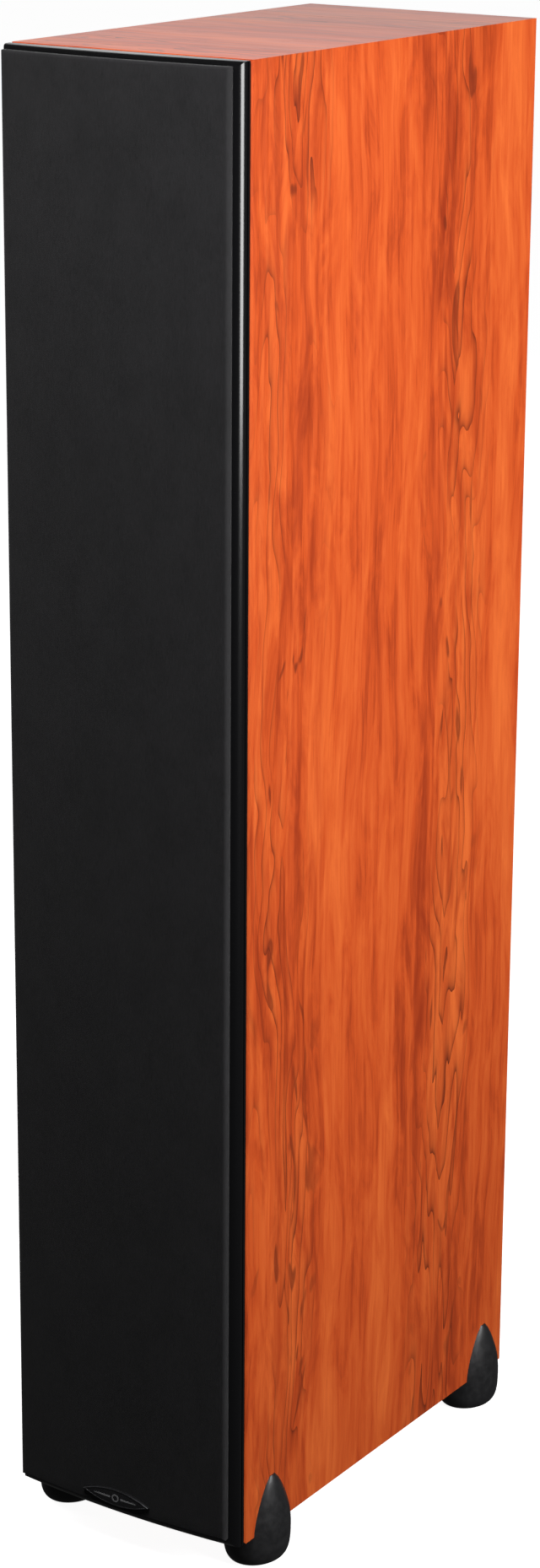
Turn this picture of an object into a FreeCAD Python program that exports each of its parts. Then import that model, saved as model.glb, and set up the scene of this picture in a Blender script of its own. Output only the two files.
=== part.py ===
import FreeCAD, Part
import math
import os

import Sketcher
from FreeCAD import Placement, Rotation, Vector

# A slim three-woofer tower loudspeaker: a mitred cabinet on four moulded feet, with a bowed
# gloss fascia, a pull-off cloth grille, the drivers, the crossover and the rear terminals.
# The cabinet frame that the functions below work in has X across, Y backwards from the
# cabinet's front face and Z up from its underside. put() moves each piece into the part's
# own frame, whose origin is the bottom centre of the whole speaker.

SIZES = {
    # Cabinet
    "cab_width": 172.0,
    "cab_height": 940.0,
    "cab_depth": 324.0,
    "panel": 15.0,
    "edge_bevel": 1.0,
    "brace_rim": 12.0,
    "brace_corner": 15.0,
    "brace_low": 292.0,
    "brace_high": 543.0,
    "wadding_gap": 8.0,
    "wadding_side": 10.0,
    "wadding_thick": 22.0,
    # Fascia
    "fascia_inset": 0.3,
    "fascia_edge": 11.5,
    "fascia_bow": 5.0,
    "fascia_round": 7.0,
    "shadow_depth": 1.5,
    "lip_depth": 1.8,
    "groove_depth": 0.9,
    "groove_inset": 1.3,
    # Grille
    "grille_side_gap": 5.5,
    "grille_low": 8.8,
    "grille_top_gap": 3.6,
    "grille_gap": 0.4,
    "grille_thick": 4.2,
    "grille_bar": 9.0,
    "grille_round": 1.8,
    "cloth_thick": 0.6,
    "cloth_round": 1.3,
    "peg_inset": 9.5,
    "peg_low": 40.0,
    "peg_top_inset": 28.4,
    "peg_radius": 3.5,
    "peg_reach": 9.0,
    "peg_clearance": 0.3,
    "boss_radius": 5.4,
    "socket_radius": 5.4,
    "socket_length": 10.4,
    "badge_width": 52.0,
    "badge_height": 11.5,
    "badge_thick": 1.8,
    "badge_up": 17.2,
    # Woofers
    "woofer_drop": 118.0,
    "woofer_pitch": 140.0,
    "woofer_seat": 7.5,
    "woofer_flange": 66.5,
    "woofer_plate": 3.0,
    "woofer_basket": 57.5,
    "woofer_throat": 40.0,
    "woofer_back_hole": 24.0,
    "woofer_frame_depth": 42.0,
    "frame_wall": 2.0,
    "recess_clearance": 0.5,
    "hole_clearance": 1.0,
    "woofer_screw_ring": 62.2,
    "window_half": 14.0,
    "tab_half": 4.0,
    "tab_height": 12.0,
    "cone_radius": 42.3,
    "cone_paper": 1.1,
    "cone_depth": 15.2,
    "cone_glue": 3.3,
    "cap_radius": 18.0,
    "cap_dome": 5.5,
    "roll_radius": 5.2,
    "roll_width": 10.0,
    "surround_skin": 0.8,
    "surround_lap": 0.5,
    "surround_glue": 4.0,
    "coil_radius": 13.9,
    "coil_wall": 0.8,
    "coil_reach": 44.0,
    "spider_depth": 24.0,
    "spider_paper": 0.8,
    "magnet_radius": 45.0,
    "magnet_bore": 22.5,
    "magnet_thick": 16.0,
    "iron_plate": 5.0,
    "pole_gap": 0.7,
    "pole_lead": 1.0,
    # Tweeter
    "tweeter_drop": 62.0,
    "tweeter_seat": 8.5,
    "tweeter_flange": 47.0,
    "tweeter_plate": 4.0,
    "tweeter_mouth": 17.0,
    "tweeter_flare": 30.0,
    "tweeter_throat": 1.0,
    "tweeter_hole": 33.0,
    "tweeter_screw_ring": 41.0,
    "dome_radius": 12.9,
    "dome_height": 5.2,
    "dome_rim": 16.4,
    "dome_skin": 0.5,
    "dome_roll": 2.1,
    "dome_coil": 6.8,
    "tweeter_motor": 31.0,
    "tweeter_motor_depth": 22.0,
    "tweeter_lip": 1.0,
    "tweeter_pole_recess": 1.5,
    # Screws
    "screw_radius": 2.0,
    "screw_head": 3.6,
    "screw_head_height": 2.4,
    "screw_grip": 15.0,
    "screw_slack": 0.2,
    # Port
    "port_up": 720.0,
    "port_radius": 28.0,
    "port_wall": 2.0,
    "port_flare": 14.0,
    "port_flange": 46.0,
    "port_flange_thick": 2.5,
    "port_hole": 40.0,
    "port_length": 130.0,
    # Rear terminals
    "cup_up": 150.0,
    "cup_flange_width": 104.0,
    "cup_flange_height": 128.0,
    "cup_flange_thick": 2.5,
    "cup_width": 84.0,
    "cup_height": 104.0,
    "cup_wall": 2.5,
    "cup_depth": 18.0,
    "cup_floor": 3.0,
    "cup_corner": 8.0,
    "cup_clearance": 0.5,
    "post_across": 19.05,
    "post_rise": 21.0,
    "post_radius": 4.0,
    "post_base": 7.5,
    "post_base_thick": 2.0,
    "post_reach": 28.0,
    "post_tail": 14.0,
    "plug_radius": 2.0,
    "plug_depth": 22.0,
    "wire_hole": 1.5,
    "strap_thick": 1.0,
    "strap_half": 6.0,
    "strap_corner": 5.4,
    "collar_radius": 7.0,
    "collar_thick": 1.5,
    "nut_radius": 7.5,
    "nut_length": 22.0,
    "nut_running": 0.05,
    "nut_flute": 0.9,
    "lock_nut": 6.4,
    "lock_nut_thick": 4.0,
    # Crossover
    "board_half": 58.0,
    "board_front": 88.0,
    "board_back": 262.0,
    "board_thick": 1.6,
    "spacer_height": 8.0,
    "spacer_radius": 3.5,
    "spacer_inset": 6.0,
    "header_height": 8.0,
    "header_margin": 5.0,
    "inductor_radius": 20.0,
    "inductor_height": 18.0,
    "inductor_across": 26.0,
    "inductor_shift": 10.0,
    "inductor_row": 118.0,
    "inductor_pitch": 60.0,
    "bobbin_core": 6.0,
    "bobbin_cheek": 2.0,
    "capacitor_radius": 8.0,
    "capacitor_length": 34.0,
    "capacitor_across": 30.0,
    "capacitor_half_gap": 10.0,
    "capacitor_row": 132.0,
    "capacitor_pitch": 44.0,
    "resistor_side": 9.0,
    "resistor_length": 38.0,
    "resistor_margin": 1.0,
    "resistor_row": 101.0,
    "resistor_pitch": 57.0,
    "resistor_middle": 148.0,
    # Wiring
    "lead_radius": 1.5,
    "lead_bend": 20.0,
    "lead_across": 50.0,
    "tweeter_lead_across": 20.0,
    "lead_row": 97.0,
    "lead_step": 10.0,
    "input_row": 232.0,
    "input_step": 14.0,
    # Feet
    "foot_lift": 24.0,
    "foot_inset": 31.0,
    "foot_rear_inset": 25.0,
    "foot_rise": 36.5,
    "foot_proud": 9.0,
    "foot_inward": 32.0,
    "foot_half": 25.0,
    "pad_radius": 7.0,
    "pad_height": 3.0,
    "pad_proud": 1.5,
    "pad_inward": 6.0,
    "foot_screw_inward": 16.0,
    "foot_screw_half": 8.0,
    "foot_counterbore": 3.9,
    "foot_screw_web": 12.0,
    "foot_screw_bite": 10.0,
}

SHEET = "Sizes"
WOOFERS = ("bottom", "middle", "top")
SIDES = {"left": -1, "right": 1}
ENDS = ("front", "rear")
BASKET_WINDOWS = 6
NUT_FLUTES = 12
SPIDER_ROLLS = 5
SPIDER_WAVE = 3.0
SOCKET_FLOOR = 2.0
DIAGONAL = math.sqrt(0.5)
# Two lengths closer than TOUCH are the same; an edge runs along an axis when that axis takes
# more than STRAIGHT of its direction.
TOUCH = 0.01
STRAIGHT = 0.9
# Shares of a pan-head screw's own head: its flat crown, its shoulder, and its cross recess.
SCREW_CROWN = 0.6
SCREW_SHOULDER = 0.5
SCREW_CROSS = 0.55
SCREW_SLOT = 0.12
SCREW_RECESS = 0.4
# A lead's swept volume may differ from its section times its length by this share.
LEAD_TOLERANCE = 0.01

# Each horizontal section of a foot, from the floor up: height as a share of the drop to the
# floor (negative) or of the rise up the side (positive), how far it stands proud of the side
# and reaches inward, and its half length, each as a share of the foot's own size.
FOOT_SECTIONS = (
    (-1.00, 0.62, 0.90, 0.82),
    (-0.90, 0.80, 0.94, 0.90),
    (-0.70, 0.94, 0.98, 0.97),
    (-0.36, 1.00, 1.00, 1.00),
    (0.00, 1.00, 1.00, 1.00),
    (0.25, 0.92, 0.90, 0.91),
    (0.50, 0.74, 0.72, 0.73),
    (0.75, 0.48, 0.48, 0.50),
    (0.91, 0.27, 0.28, 0.29),
    (1.00, 0.11, 0.14, 0.14),
)
doc = FreeCAD.newDocument("TowerSpeaker")
nodes = {}


class Size:
    """A number together with the spreadsheet expression that gives it."""

    def __init__(self, value, text):
        self.value = value
        self.text = text

    def __add__(self, other):
        return combine(self, "+", other)

    def __radd__(self, other):
        return combine(other, "+", self)

    def __sub__(self, other):
        return combine(self, "-", other)

    def __rsub__(self, other):
        return combine(other, "-", self)

    def __mul__(self, other):
        return combine(self, "*", other)

    def __rmul__(self, other):
        return combine(other, "*", self)

    def __truediv__(self, other):
        return combine(self, "/", other)

    def __neg__(self):
        return combine(0.0, "-", self)


OPERATIONS = {
    "+": lambda left, right: left + right,
    "-": lambda left, right: left - right,
    "*": lambda left, right: left * right,
    "/": lambda left, right: left / right,
}


def as_size(item):
    return item if isinstance(item, Size) else Size(float(item), "(%.9g)" % item)


def combine(left, sign, right):
    left, right = as_size(left), as_size(right)
    value = OPERATIONS[sign](left.value, right.value)
    return Size(value, "(%s %s %s)" % (left.text, sign, right.text))


def root(item):
    return Size(math.sqrt(item.value), "sqrt(%s)" % item.text)


def make_sheet():
    """Fill the spreadsheet with the driving sizes and return them by name."""
    sheet = doc.addObject("Spreadsheet::Sheet", SHEET)
    sizes = {}
    for row, (name, value) in enumerate(SIZES.items(), start=1):
        sheet.set("A%d" % row, name)
        sheet.set("B%d" % row, "%g" % value)
        sheet.setAlias("B%d" % row, name)
        sizes[name] = Size(value, "%s.%s" % (SHEET, name))
    doc.recompute()
    return sizes


# ---------------------------------------------------------------- tools for sketches


def bind(item, name, size):
    item.setExpression(name, as_size(size).text)


def new_body(label):
    body = doc.addObject("PartDesign::Body", label)
    body.Label = label
    body.AllowCompound = True
    nodes[label] = body
    return body


def new_sketch(body, plane, name, offset=0.0):
    """A sketch on one of the body's own planes, moved along that plane's normal."""
    sketch = body.newObject("Sketcher::SketchObject", name)
    base = [item for item in body.Origin.OriginFeatures if item.Role == plane][0]
    sketch.AttachmentSupport = [(base, "")]
    sketch.MapMode = "FlatFace"
    bind(sketch, "AttachmentOffset.Base.z", offset)
    return sketch


def constrain(sketch, kind, *items, size):
    index = sketch.addConstraint(Sketcher.Constraint(kind, *items, as_size(size).value))
    bind(sketch, "Constraints[%d]" % index, size)


def fix_point(sketch, edge, end, point):
    """Hold one end of an edge at a point measured from the sketch's origin."""
    constrain(sketch, "DistanceX", -1, 1, edge, end, size=point[0])
    constrain(sketch, "DistanceY", -1, 1, edge, end, size=point[1])


def arc_between(start, end, radius):
    """A short arc between two points; a positive radius turns left on the way."""
    chord = end - start
    reach = math.sqrt(max(radius * radius - (chord.Length / 2) ** 2, 0.0))
    left = Vector(-chord.y, chord.x, 0).normalize()
    centre = (start + end) / 2 + left * math.copysign(reach, radius)
    angles = [math.atan2(p.y - centre.y, p.x - centre.x) for p in (start, end)]
    if radius < 0:
        angles.reverse()
    return Part.ArcOfCircle(Part.Circle(centre, Vector(0, 0, 1), abs(radius)), *angles)


def outline(sketch, points, arcs=None):
    """A closed outline through bound points; arcs maps an edge's number to its radius."""
    arcs = arcs or {}
    spots = [Vector(as_size(x).value, as_size(y).value, 0) for x, y in points]
    count = len(points)
    ends = []
    for number in range(count):
        start, end = spots[number], spots[(number + 1) % count]
        radius = as_size(arcs[number]) if number in arcs else None
        curve = arc_between(start, end, radius.value) if radius else Part.LineSegment(start, end)
        edge = sketch.addGeometry(curve, False)
        flipped = radius is not None and radius.value < 0
        ends.append((edge, 2 if flipped else 1, 1 if flipped else 2))
        if radius:
            constrain(sketch, "Radius", edge, size=-radius if flipped else radius)
    for number in range(count):
        edge, first, last = ends[number]
        following, follow_first, follow_last = ends[(number + 1) % count]
        sketch.addConstraint(Sketcher.Constraint("Coincident", edge, last, following, follow_first))
        fix_point(sketch, edge, first, points[number])


def rectangle(sketch, left, low, right, high):
    outline(sketch, [(left, low), (right, low), (right, high), (left, high)])


def circle(sketch, across, up, radius):
    spot = Vector(as_size(across).value, as_size(up).value, 0)
    edge = sketch.addGeometry(Part.Circle(spot, Vector(0, 0, 1), as_size(radius).value), False)
    constrain(sketch, "Radius", edge, size=radius)
    fix_point(sketch, edge, 3, (across, up))


def diagonal_spots(across, up, ring):
    """The four points of a screw ring, on its diagonals."""
    step = ring * DIAGONAL
    return [(across + sx * step, up + sz * step) for sx in (-1, 1) for sz in (-1, 1)]


# ---------------------------------------------------------------- tools for solids


def pad(body, sketch, length, backwards=False):
    feature = body.newObject("PartDesign::Pad", sketch.Name + "_pad")
    feature.Profile = sketch
    feature.Reversed = backwards
    bind(feature, "Length", length)
    doc.recompute()
    return feature


def pocket(body, sketch, length, backwards=False):
    """Cut a sketch into the solid; a cut that takes nothing away is an error."""
    before = body.Shape.Volume
    feature = body.newObject("PartDesign::Pocket", sketch.Name + "_cut")
    feature.Profile = sketch
    feature.Reversed = backwards
    bind(feature, "Length", length)
    doc.recompute()
    if not body.Shape.Volume < before:
        raise ValueError("%s cuts nothing" % feature.Label)
    return feature


def turn(body, sketch):
    """Revolve a sketch about its own vertical axis."""
    feature = body.newObject("PartDesign::Revolution", sketch.Name + "_turn")
    feature.Profile = sketch
    feature.ReferenceAxis = (sketch, ["V_Axis"])
    feature.Angle = 360.0
    doc.recompute()
    return feature


def repeat_round(body, feature, axis, count):
    pattern = body.newObject("PartDesign::PolarPattern", feature.Name + "_ring")
    pattern.Originals = [feature]
    base = [item for item in body.Origin.OriginFeatures if item.Role == axis][0]
    pattern.Axis = (base, [""])
    pattern.Angle = 360.0
    pattern.Occurrences = count
    body.Tip = pattern
    doc.recompute()


def edges_where(body, test):
    """Names of the edges, in the body's own frame, whose middle and direction pass a test."""
    found = []
    for number, edge in enumerate(body.Tip.Shape.Edges, start=1):
        middle = edge.valueAt((edge.FirstParameter + edge.LastParameter) / 2)
        along = edge.tangentAt((edge.FirstParameter + edge.LastParameter) / 2)
        if test(middle, along):
            found.append("Edge%d" % number)
    if not found:
        raise ValueError("no edge to dress on %s" % body.Label)
    return found


def dress(body, kind, size, test):
    """Round ("Fillet", "Radius") or bevel ("Chamfer", "Size") the edges that pass a test."""
    names = edges_where(body, test)
    base, before = body.Tip, body.Shape.Volume
    feature = body.newObject("PartDesign::" + kind, "%s_%s" % (body.Name, kind))
    feature.Base = (base, names)
    bind(feature, "Radius" if kind == "Fillet" else "Size", size)
    doc.recompute()
    if near(body.Shape.Volume, before):
        raise ValueError("%s dresses nothing" % feature.Label)


def near(value, size):
    return abs(value - as_size(size).value) < TOUCH


def runs(direction, axis):
    """Whether an edge's direction is along one axis of the body's own frame."""
    return abs(getattr(direction, axis)) > STRAIGHT


def put(item, across=0.0, back=0.0, up=0.0, turned=None):
    """Place an object given in the cabinet frame into the part's own frame."""
    item.Placement = Placement(Vector(), turned or Rotation())
    bind(item, "Placement.Base.x", across)
    bind(item, "Placement.Base.y", front_face + back)
    bind(item, "Placement.Base.z", cab_floor + up)
    return item


def primitive(kind, name, **sizes):
    item = doc.addObject("Part::" + kind, name)
    for field, size in sizes.items():
        bind(item, field, size)
    return item


def cut(label, base, tool):
    item = doc.addObject("Part::Cut", label)
    item.Base, item.Tool = base, tool
    return item


def group(label, pieces):
    """One node made of separate solids."""
    item = doc.addObject("Part::Compound", label)
    item.Label = label
    item.Links = pieces
    nodes[label] = item
    return item


def copies(master, spots):
    """Links to a master piece at points of the cabinet frame; the master itself isn't a node."""
    nodes.pop(master.Label, None)
    links = []
    for spot in spots:
        link = doc.addObject("App::Link", master.Name + "_copy")
        link.LinkedObject = master
        link.LinkTransform = False
        links.append(put(link, *spot, turned=master.Placement.Rotation))
    return links


# ---------------------------------------------------------------- shared places

size = make_sheet()
half_width = size["cab_width"] / 2
inner_half = half_width - size["panel"]
inner_high = size["cab_height"] - size["panel"]
back_inside = size["cab_depth"] - size["panel"]
fascia_half = half_width - size["fascia_inset"]
fascia_crown = size["fascia_edge"] + size["fascia_bow"]
fascia_arc = (fascia_half * fascia_half + size["fascia_bow"] * size["fascia_bow"]) / (2 * size["fascia_bow"])
grille_half = half_width - size["grille_side_gap"]
grille_top = size["cab_height"] - size["grille_top_gap"]
peg_across = grille_half - size["peg_inset"]
grille_back = fascia_crown + size["grille_gap"]
grille_front = grille_back + size["grille_thick"]
cloth_front = grille_front + size["cloth_thick"]
front_reach = cloth_front + size["badge_thick"]
rear_reach = size["post_reach"] - size["cup_depth"]
cab_floor = size["foot_lift"]
front_face = (front_reach - rear_reach - size["cab_depth"]) / 2
board_top = size["panel"] + size["spacer_height"] + size["board_thick"]
header_top = board_top + size["header_height"]
cup_face = size["cab_depth"] - size["cup_depth"]
tweeter_up = size["cab_height"] - size["tweeter_drop"]
woofer_low = tweeter_up - size["woofer_drop"] - (len(WOOFERS) - 1) * size["woofer_pitch"]


def woofer_up(number):
    return woofer_low + number * size["woofer_pitch"]


def bow_drop(radius, across):
    """How far an arc about the fascia's bow centre falls back at a distance from the middle."""
    return radius - root(radius * radius - across * across)


def woofer_screw_spots():
    return [spot for number in range(len(WOOFERS))
            for spot in diagonal_spots(0.0, woofer_up(number), size["woofer_screw_ring"])]


def tweeter_screw_spots():
    return diagonal_spots(0.0, tweeter_up, size["tweeter_screw_ring"])


def peg_spots():
    middle = woofer_low + size["woofer_pitch"] / 2
    high = grille_top - size["peg_top_inset"]
    return [(side * peg_across, up) for side in (-1, 1) for up in (size["peg_low"], middle, high)]


# ---------------------------------------------------------------- cabinet


def make_side_panel(label, side):
    body = put(new_body(label))
    sketch = new_sketch(body, "XZ_Plane", label + "_mitre")
    outer, inner = side * half_width, side * inner_half
    outline(sketch, [(outer, 0.0), (outer, size["cab_height"]), (inner, inner_high), (inner, size["panel"])])
    pad(body, sketch, size["cab_depth"], backwards=True)
    dress(body, "Chamfer", size["edge_bevel"], lambda p, d: near(p.y, 0) and near(p.x, outer))


def make_end_panel(label, outer, inner):
    """The top or the bottom: a mitred board between the sides."""
    body = put(new_body(label))
    sketch = new_sketch(body, "XZ_Plane", label + "_mitre")
    outline(sketch, [(-half_width, outer), (half_width, outer), (inner_half, inner), (-inner_half, inner)])
    pad(body, sketch, size["cab_depth"], backwards=True)
    dress(body, "Chamfer", size["edge_bevel"], lambda p, d: near(p.y, 0) and near(p.z, outer))
    return body


def make_bottom_panel():
    body = make_end_panel("bottom_panel", 0.0, size["panel"])
    pilots = new_sketch(body, "XY_Plane", "foot_pilots")
    for across, back in foot_screw_spots():
        circle(pilots, across, back, size["screw_radius"])
    pocket(body, pilots, size["foot_screw_bite"], backwards=True)


def make_inner_baffle():
    body = put(new_body("inner_baffle"))
    sketch = new_sketch(body, "XZ_Plane", "baffle_face")
    rectangle(sketch, -inner_half, size["panel"], inner_half, inner_high)
    driver_holes(sketch)
    screw_pilots(sketch)
    pad(body, sketch, size["panel"], backwards=True)


def driver_holes(sketch):
    for number in range(len(WOOFERS)):
        circle(sketch, 0.0, woofer_up(number), size["woofer_basket"] + size["hole_clearance"])
    circle(sketch, 0.0, tweeter_up, size["tweeter_hole"])


def screw_pilots(sketch):
    for across, up in woofer_screw_spots() + tweeter_screw_spots():
        circle(sketch, across, up, size["screw_radius"])


def make_back_panel():
    body = put(new_body("back_panel"), back=back_inside)
    sketch = new_sketch(body, "XZ_Plane", "back_face")
    rectangle(sketch, -inner_half, size["panel"], inner_half, inner_high)
    circle(sketch, 0.0, size["port_up"], size["port_hole"])
    across = size["cup_width"] / 2 + size["cup_clearance"]
    rise = size["cup_height"] / 2 + size["cup_clearance"]
    rectangle(sketch, -across, size["cup_up"] - rise, across, size["cup_up"] + rise)
    for side, end in cup_screw_spots():
        circle(sketch, side, end, size["screw_radius"])
    pad(body, sketch, size["panel"], backwards=True)


def make_brace(label, up):
    """A window brace, open in the middle for the air and the leads."""
    body = put(new_body(label), up=up)
    sketch = new_sketch(body, "XY_Plane", label + "_ring")
    rectangle(sketch, -inner_half, size["panel"], inner_half, back_inside)
    pad(body, sketch, size["panel"])
    window = new_sketch(body, "XY_Plane", label + "_window")
    side = inner_half - size["brace_rim"]
    front, back = size["panel"] + size["brace_rim"], back_inside - size["brace_rim"]
    rectangle(window, -side, front, side, back)
    pocket(body, window, size["panel"], backwards=True)
    dress(body, "Fillet", size["brace_corner"],
          lambda p, d: runs(d, "z") and near(abs(p.x), side))


def make_wadding():
    low = size["brace_low"] + size["panel"] + size["wadding_gap"]
    high = size["brace_high"] - size["wadding_gap"]
    body = put(new_body("damping_wadding"), back=back_inside)
    sketch = new_sketch(body, "XZ_Plane", "wadding_face")
    side = inner_half - size["wadding_side"]
    rectangle(sketch, -side, low, side, high)
    pad(body, sketch, size["wadding_thick"])


def make_cabinet():
    for side, sign in SIDES.items():
        make_side_panel("side_panel_" + side, sign)
    make_end_panel("top_panel", size["cab_height"], inner_high)
    make_bottom_panel()
    make_inner_baffle()
    make_back_panel()
    make_brace("brace_lower", size["brace_low"])
    make_brace("brace_upper", size["brace_high"])
    make_wadding()


# ---------------------------------------------------------------- fascia and grille


def ring_cut(body, name, start, depth, inset):
    """Cut a groove of a depth right round the fascia's rim, from start forwards."""
    sketch = new_sketch(body, "XZ_Plane", name, offset=start)
    outside = half_width + size["panel"]
    rectangle(sketch, -outside, -size["panel"], outside, size["cab_height"] + size["panel"])
    side = fascia_half - inset
    low = size["fascia_inset"] + inset
    rectangle(sketch, -side, low, side, size["cab_height"] - low)
    pocket(body, sketch, depth, backwards=True)


def make_fascia():
    body = put(new_body("gloss_fascia"))
    plan = new_sketch(body, "XY_Plane", "fascia_plan", offset=size["fascia_inset"])
    edge = size["fascia_edge"]
    outline(plan, [(-fascia_half, 0.0), (-fascia_half, -edge), (fascia_half, -edge), (fascia_half, 0.0)],
            arcs={1: fascia_arc})
    pad(body, plan, size["cab_height"] - 2 * size["fascia_inset"])
    dress(body, "Fillet", size["fascia_round"], lambda p, d: p.y < TOUCH - edge.value)
    ring_cut(body, "shadow_gap", 0.0, size["shadow_depth"], size["groove_inset"])
    ring_cut(body, "lip_groove", size["shadow_depth"] + size["lip_depth"],
             size["groove_depth"], size["groove_inset"])
    cut_driver_seats(body)


def cut_driver_seats(body):
    """Counterbores for the driver frames, the holes behind them, pilots and grille sockets."""
    seats = new_sketch(body, "XZ_Plane", "woofer_seats", offset=size["woofer_seat"])
    for number in range(len(WOOFERS)):
        circle(seats, 0.0, woofer_up(number), size["woofer_flange"] + size["recess_clearance"])
    pocket(body, seats, fascia_crown, backwards=True)
    seat = new_sketch(body, "XZ_Plane", "tweeter_seat", offset=size["tweeter_seat"])
    circle(seat, 0.0, tweeter_up, size["tweeter_flange"] + size["recess_clearance"])
    pocket(body, seat, fascia_crown, backwards=True)
    holes = new_sketch(body, "XZ_Plane", "fascia_holes")
    driver_holes(holes)
    screw_pilots(holes)
    pocket(body, holes, fascia_crown, backwards=True)
    sockets = new_sketch(body, "XZ_Plane", "socket_holes", offset=SOCKET_FLOOR)
    for across, up in peg_spots():
        circle(sockets, across, up, size["socket_radius"])
    pocket(body, sockets, fascia_crown, backwards=True)


def bowed_plan(sketch, half, back, front):
    """A bowed strip in plan, between two arcs about the fascia's bow centre."""
    back_edge, front_edge = bowed_edge(half, back), bowed_edge(half, front)
    outline(sketch, [(-half, back_edge), (-half, front_edge), (half, front_edge), (half, back_edge)],
            arcs={1: bow_arc(front), 3: -bow_arc(back)})


def bow_arc(depth):
    """Radius of the bow's arc at a depth in front of the cabinet."""
    return fascia_arc + (depth - fascia_crown)


def bowed_edge(half, depth):
    """Where that arc stands at a distance from the middle."""
    return bow_drop(bow_arc(depth), half) - depth


def grille_windows():
    """The low and high edges of the frame's openings, between its cross bars."""
    half_bar = size["grille_bar"] / 2
    bars = [size["peg_low"] + size["woofer_pitch"], woofer_up(0) - size["woofer_pitch"] / 2]
    bars += [woofer_up(number) + size["woofer_pitch"] / 2 for number in range(len(WOOFERS) - 1)]
    bars.append(tweeter_up - size["tweeter_flange"] - half_bar)
    edges = [size["grille_low"] + half_bar] + bars + [grille_top - half_bar]
    return [(low + half_bar, high - half_bar) for low, high in zip(edges, edges[1:])]


def make_grille_frame():
    body = put(new_body("grille_frame"))
    plan = new_sketch(body, "XY_Plane", "frame_plan", offset=size["grille_low"])
    bowed_plan(plan, grille_half, grille_back, grille_front)
    pad(body, plan, grille_top - size["grille_low"])
    dress(body, "Fillet", size["grille_round"],
          lambda p, d: runs(d, "z") and near(p.y, bowed_edge(grille_half, grille_front)))
    windows = new_sketch(body, "XZ_Plane", "frame_windows")
    side = grille_half - size["grille_bar"]
    for low, high in grille_windows():
        rectangle(windows, -side, low, side, high)
    pocket(body, windows, cloth_front, backwards=True)
    add_bosses(body)


def add_bosses(body):
    """Round bosses inside the rim, each with a peg that enters a socket."""
    boss_back = grille_back - bow_drop(fascia_arc, peg_across) + size["grille_gap"]
    bosses = new_sketch(body, "XZ_Plane", "peg_bosses", offset=boss_back)
    for across, up in peg_spots():
        circle(bosses, across, up, size["boss_radius"])
    pad(body, bosses, size["grille_thick"] / 2)
    pegs = new_sketch(body, "XZ_Plane", "pegs", offset=boss_back + size["grille_gap"])
    for across, up in peg_spots():
        circle(pegs, across, up, size["peg_radius"])
    pad(body, pegs, size["peg_reach"], backwards=True)


def make_grille_cloth():
    """The cloth as a shallow tray that wraps over the frame's front and edges."""
    body = put(new_body("grille_cloth"))
    cloth = size["cloth_thick"]
    outside = new_sketch(body, "XY_Plane", "cloth_plan", offset=size["grille_low"] - cloth)
    bowed_plan(outside, grille_half + cloth, grille_back, cloth_front)
    height = grille_top - size["grille_low"]
    pad(body, outside, height + 2 * cloth)
    inside = new_sketch(body, "XY_Plane", "cloth_inside", offset=size["grille_low"])
    bowed_plan(inside, grille_half, grille_back - cloth, grille_front)
    pocket(body, inside, height, backwards=True)
    corner = bowed_edge(grille_half + cloth, cloth_front)
    dress(body, "Fillet", size["cloth_round"], lambda p, d: runs(d, "z") and near(p.y, corner))


def make_badge():
    """A blank lens-shaped badge on the foot of the grille."""
    body = put(new_body("grille_badge"), back=-cloth_front, up=size["badge_up"])
    sketch = new_sketch(body, "XZ_Plane", "badge_lens")
    half, rise = size["badge_width"] / 2, size["badge_height"] / 2
    arc = (half * half + rise * rise) / (2 * rise)
    outline(sketch, [(-half, 0.0), (half, 0.0)], arcs={0: arc, 1: arc})
    pad(body, sketch, size["badge_thick"])


def make_sockets():
    body = put(new_body("grille_socket"))
    cup = new_sketch(body, "XY_Plane", "socket_cup")
    outer = size["socket_radius"]
    inner = size["peg_radius"] + size["peg_clearance"]
    length = size["socket_length"]
    floor = size["peg_clearance"]
    outline(cup, [(0.0, 0.0), (outer, 0.0), (outer, -length), (inner, -length), (inner, -floor),
                  (0.0, -floor)])
    turn(body, cup)
    spots = [(across, -SOCKET_FLOOR, up) for across, up in peg_spots()]
    group("grille_sockets", copies(body, spots))


def make_front():
    make_fascia()
    make_grille_frame()
    make_grille_cloth()
    make_badge()
    make_sockets()


# ---------------------------------------------------------------- woofers


def revolved(label, points, arcs=None, **place):
    """A round piece about the Y axis from an outline of (radius, position) points."""
    body = put(new_body(label), **place)
    sketch = new_sketch(body, "XY_Plane", label + "_section")
    outline(sketch, points, arcs)
    turn(body, sketch)
    return body


def woofer_place(number):
    return {"back": -size["woofer_seat"], "up": woofer_up(number)}


def make_basket(label, place):
    flange, plate = size["woofer_flange"], size["woofer_plate"]
    shell, throat, wall = size["woofer_basket"], size["woofer_throat"], size["frame_wall"]
    floor, ledge = size["woofer_frame_depth"], size["spider_depth"]
    hole, step = size["woofer_back_hole"], 2 * wall
    rim = roll_inner_edge() + size["roll_width"] - wall / 2
    inner_shell, inner_throat = shell - wall, throat - wall
    slope = (inner_shell - inner_throat) / (floor - wall - step)
    body = revolved(label, [
        (rim, -plate), (flange, -plate), (flange, 0.0), (shell, 0.0), (shell, step),
        (throat, floor - step), (throat, floor), (hole, floor),
        (hole, floor - wall), (inner_throat, floor - wall),
        (inner_shell - slope * (ledge + wall - step), ledge + wall),
        (throat, ledge + wall), (throat, ledge),
        (inner_shell - slope * (ledge - step), ledge), (inner_shell, step), (rim, 0.0),
    ], **place)
    cut_basket_windows(body, label)
    add_terminal_tab(body, label)


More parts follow.
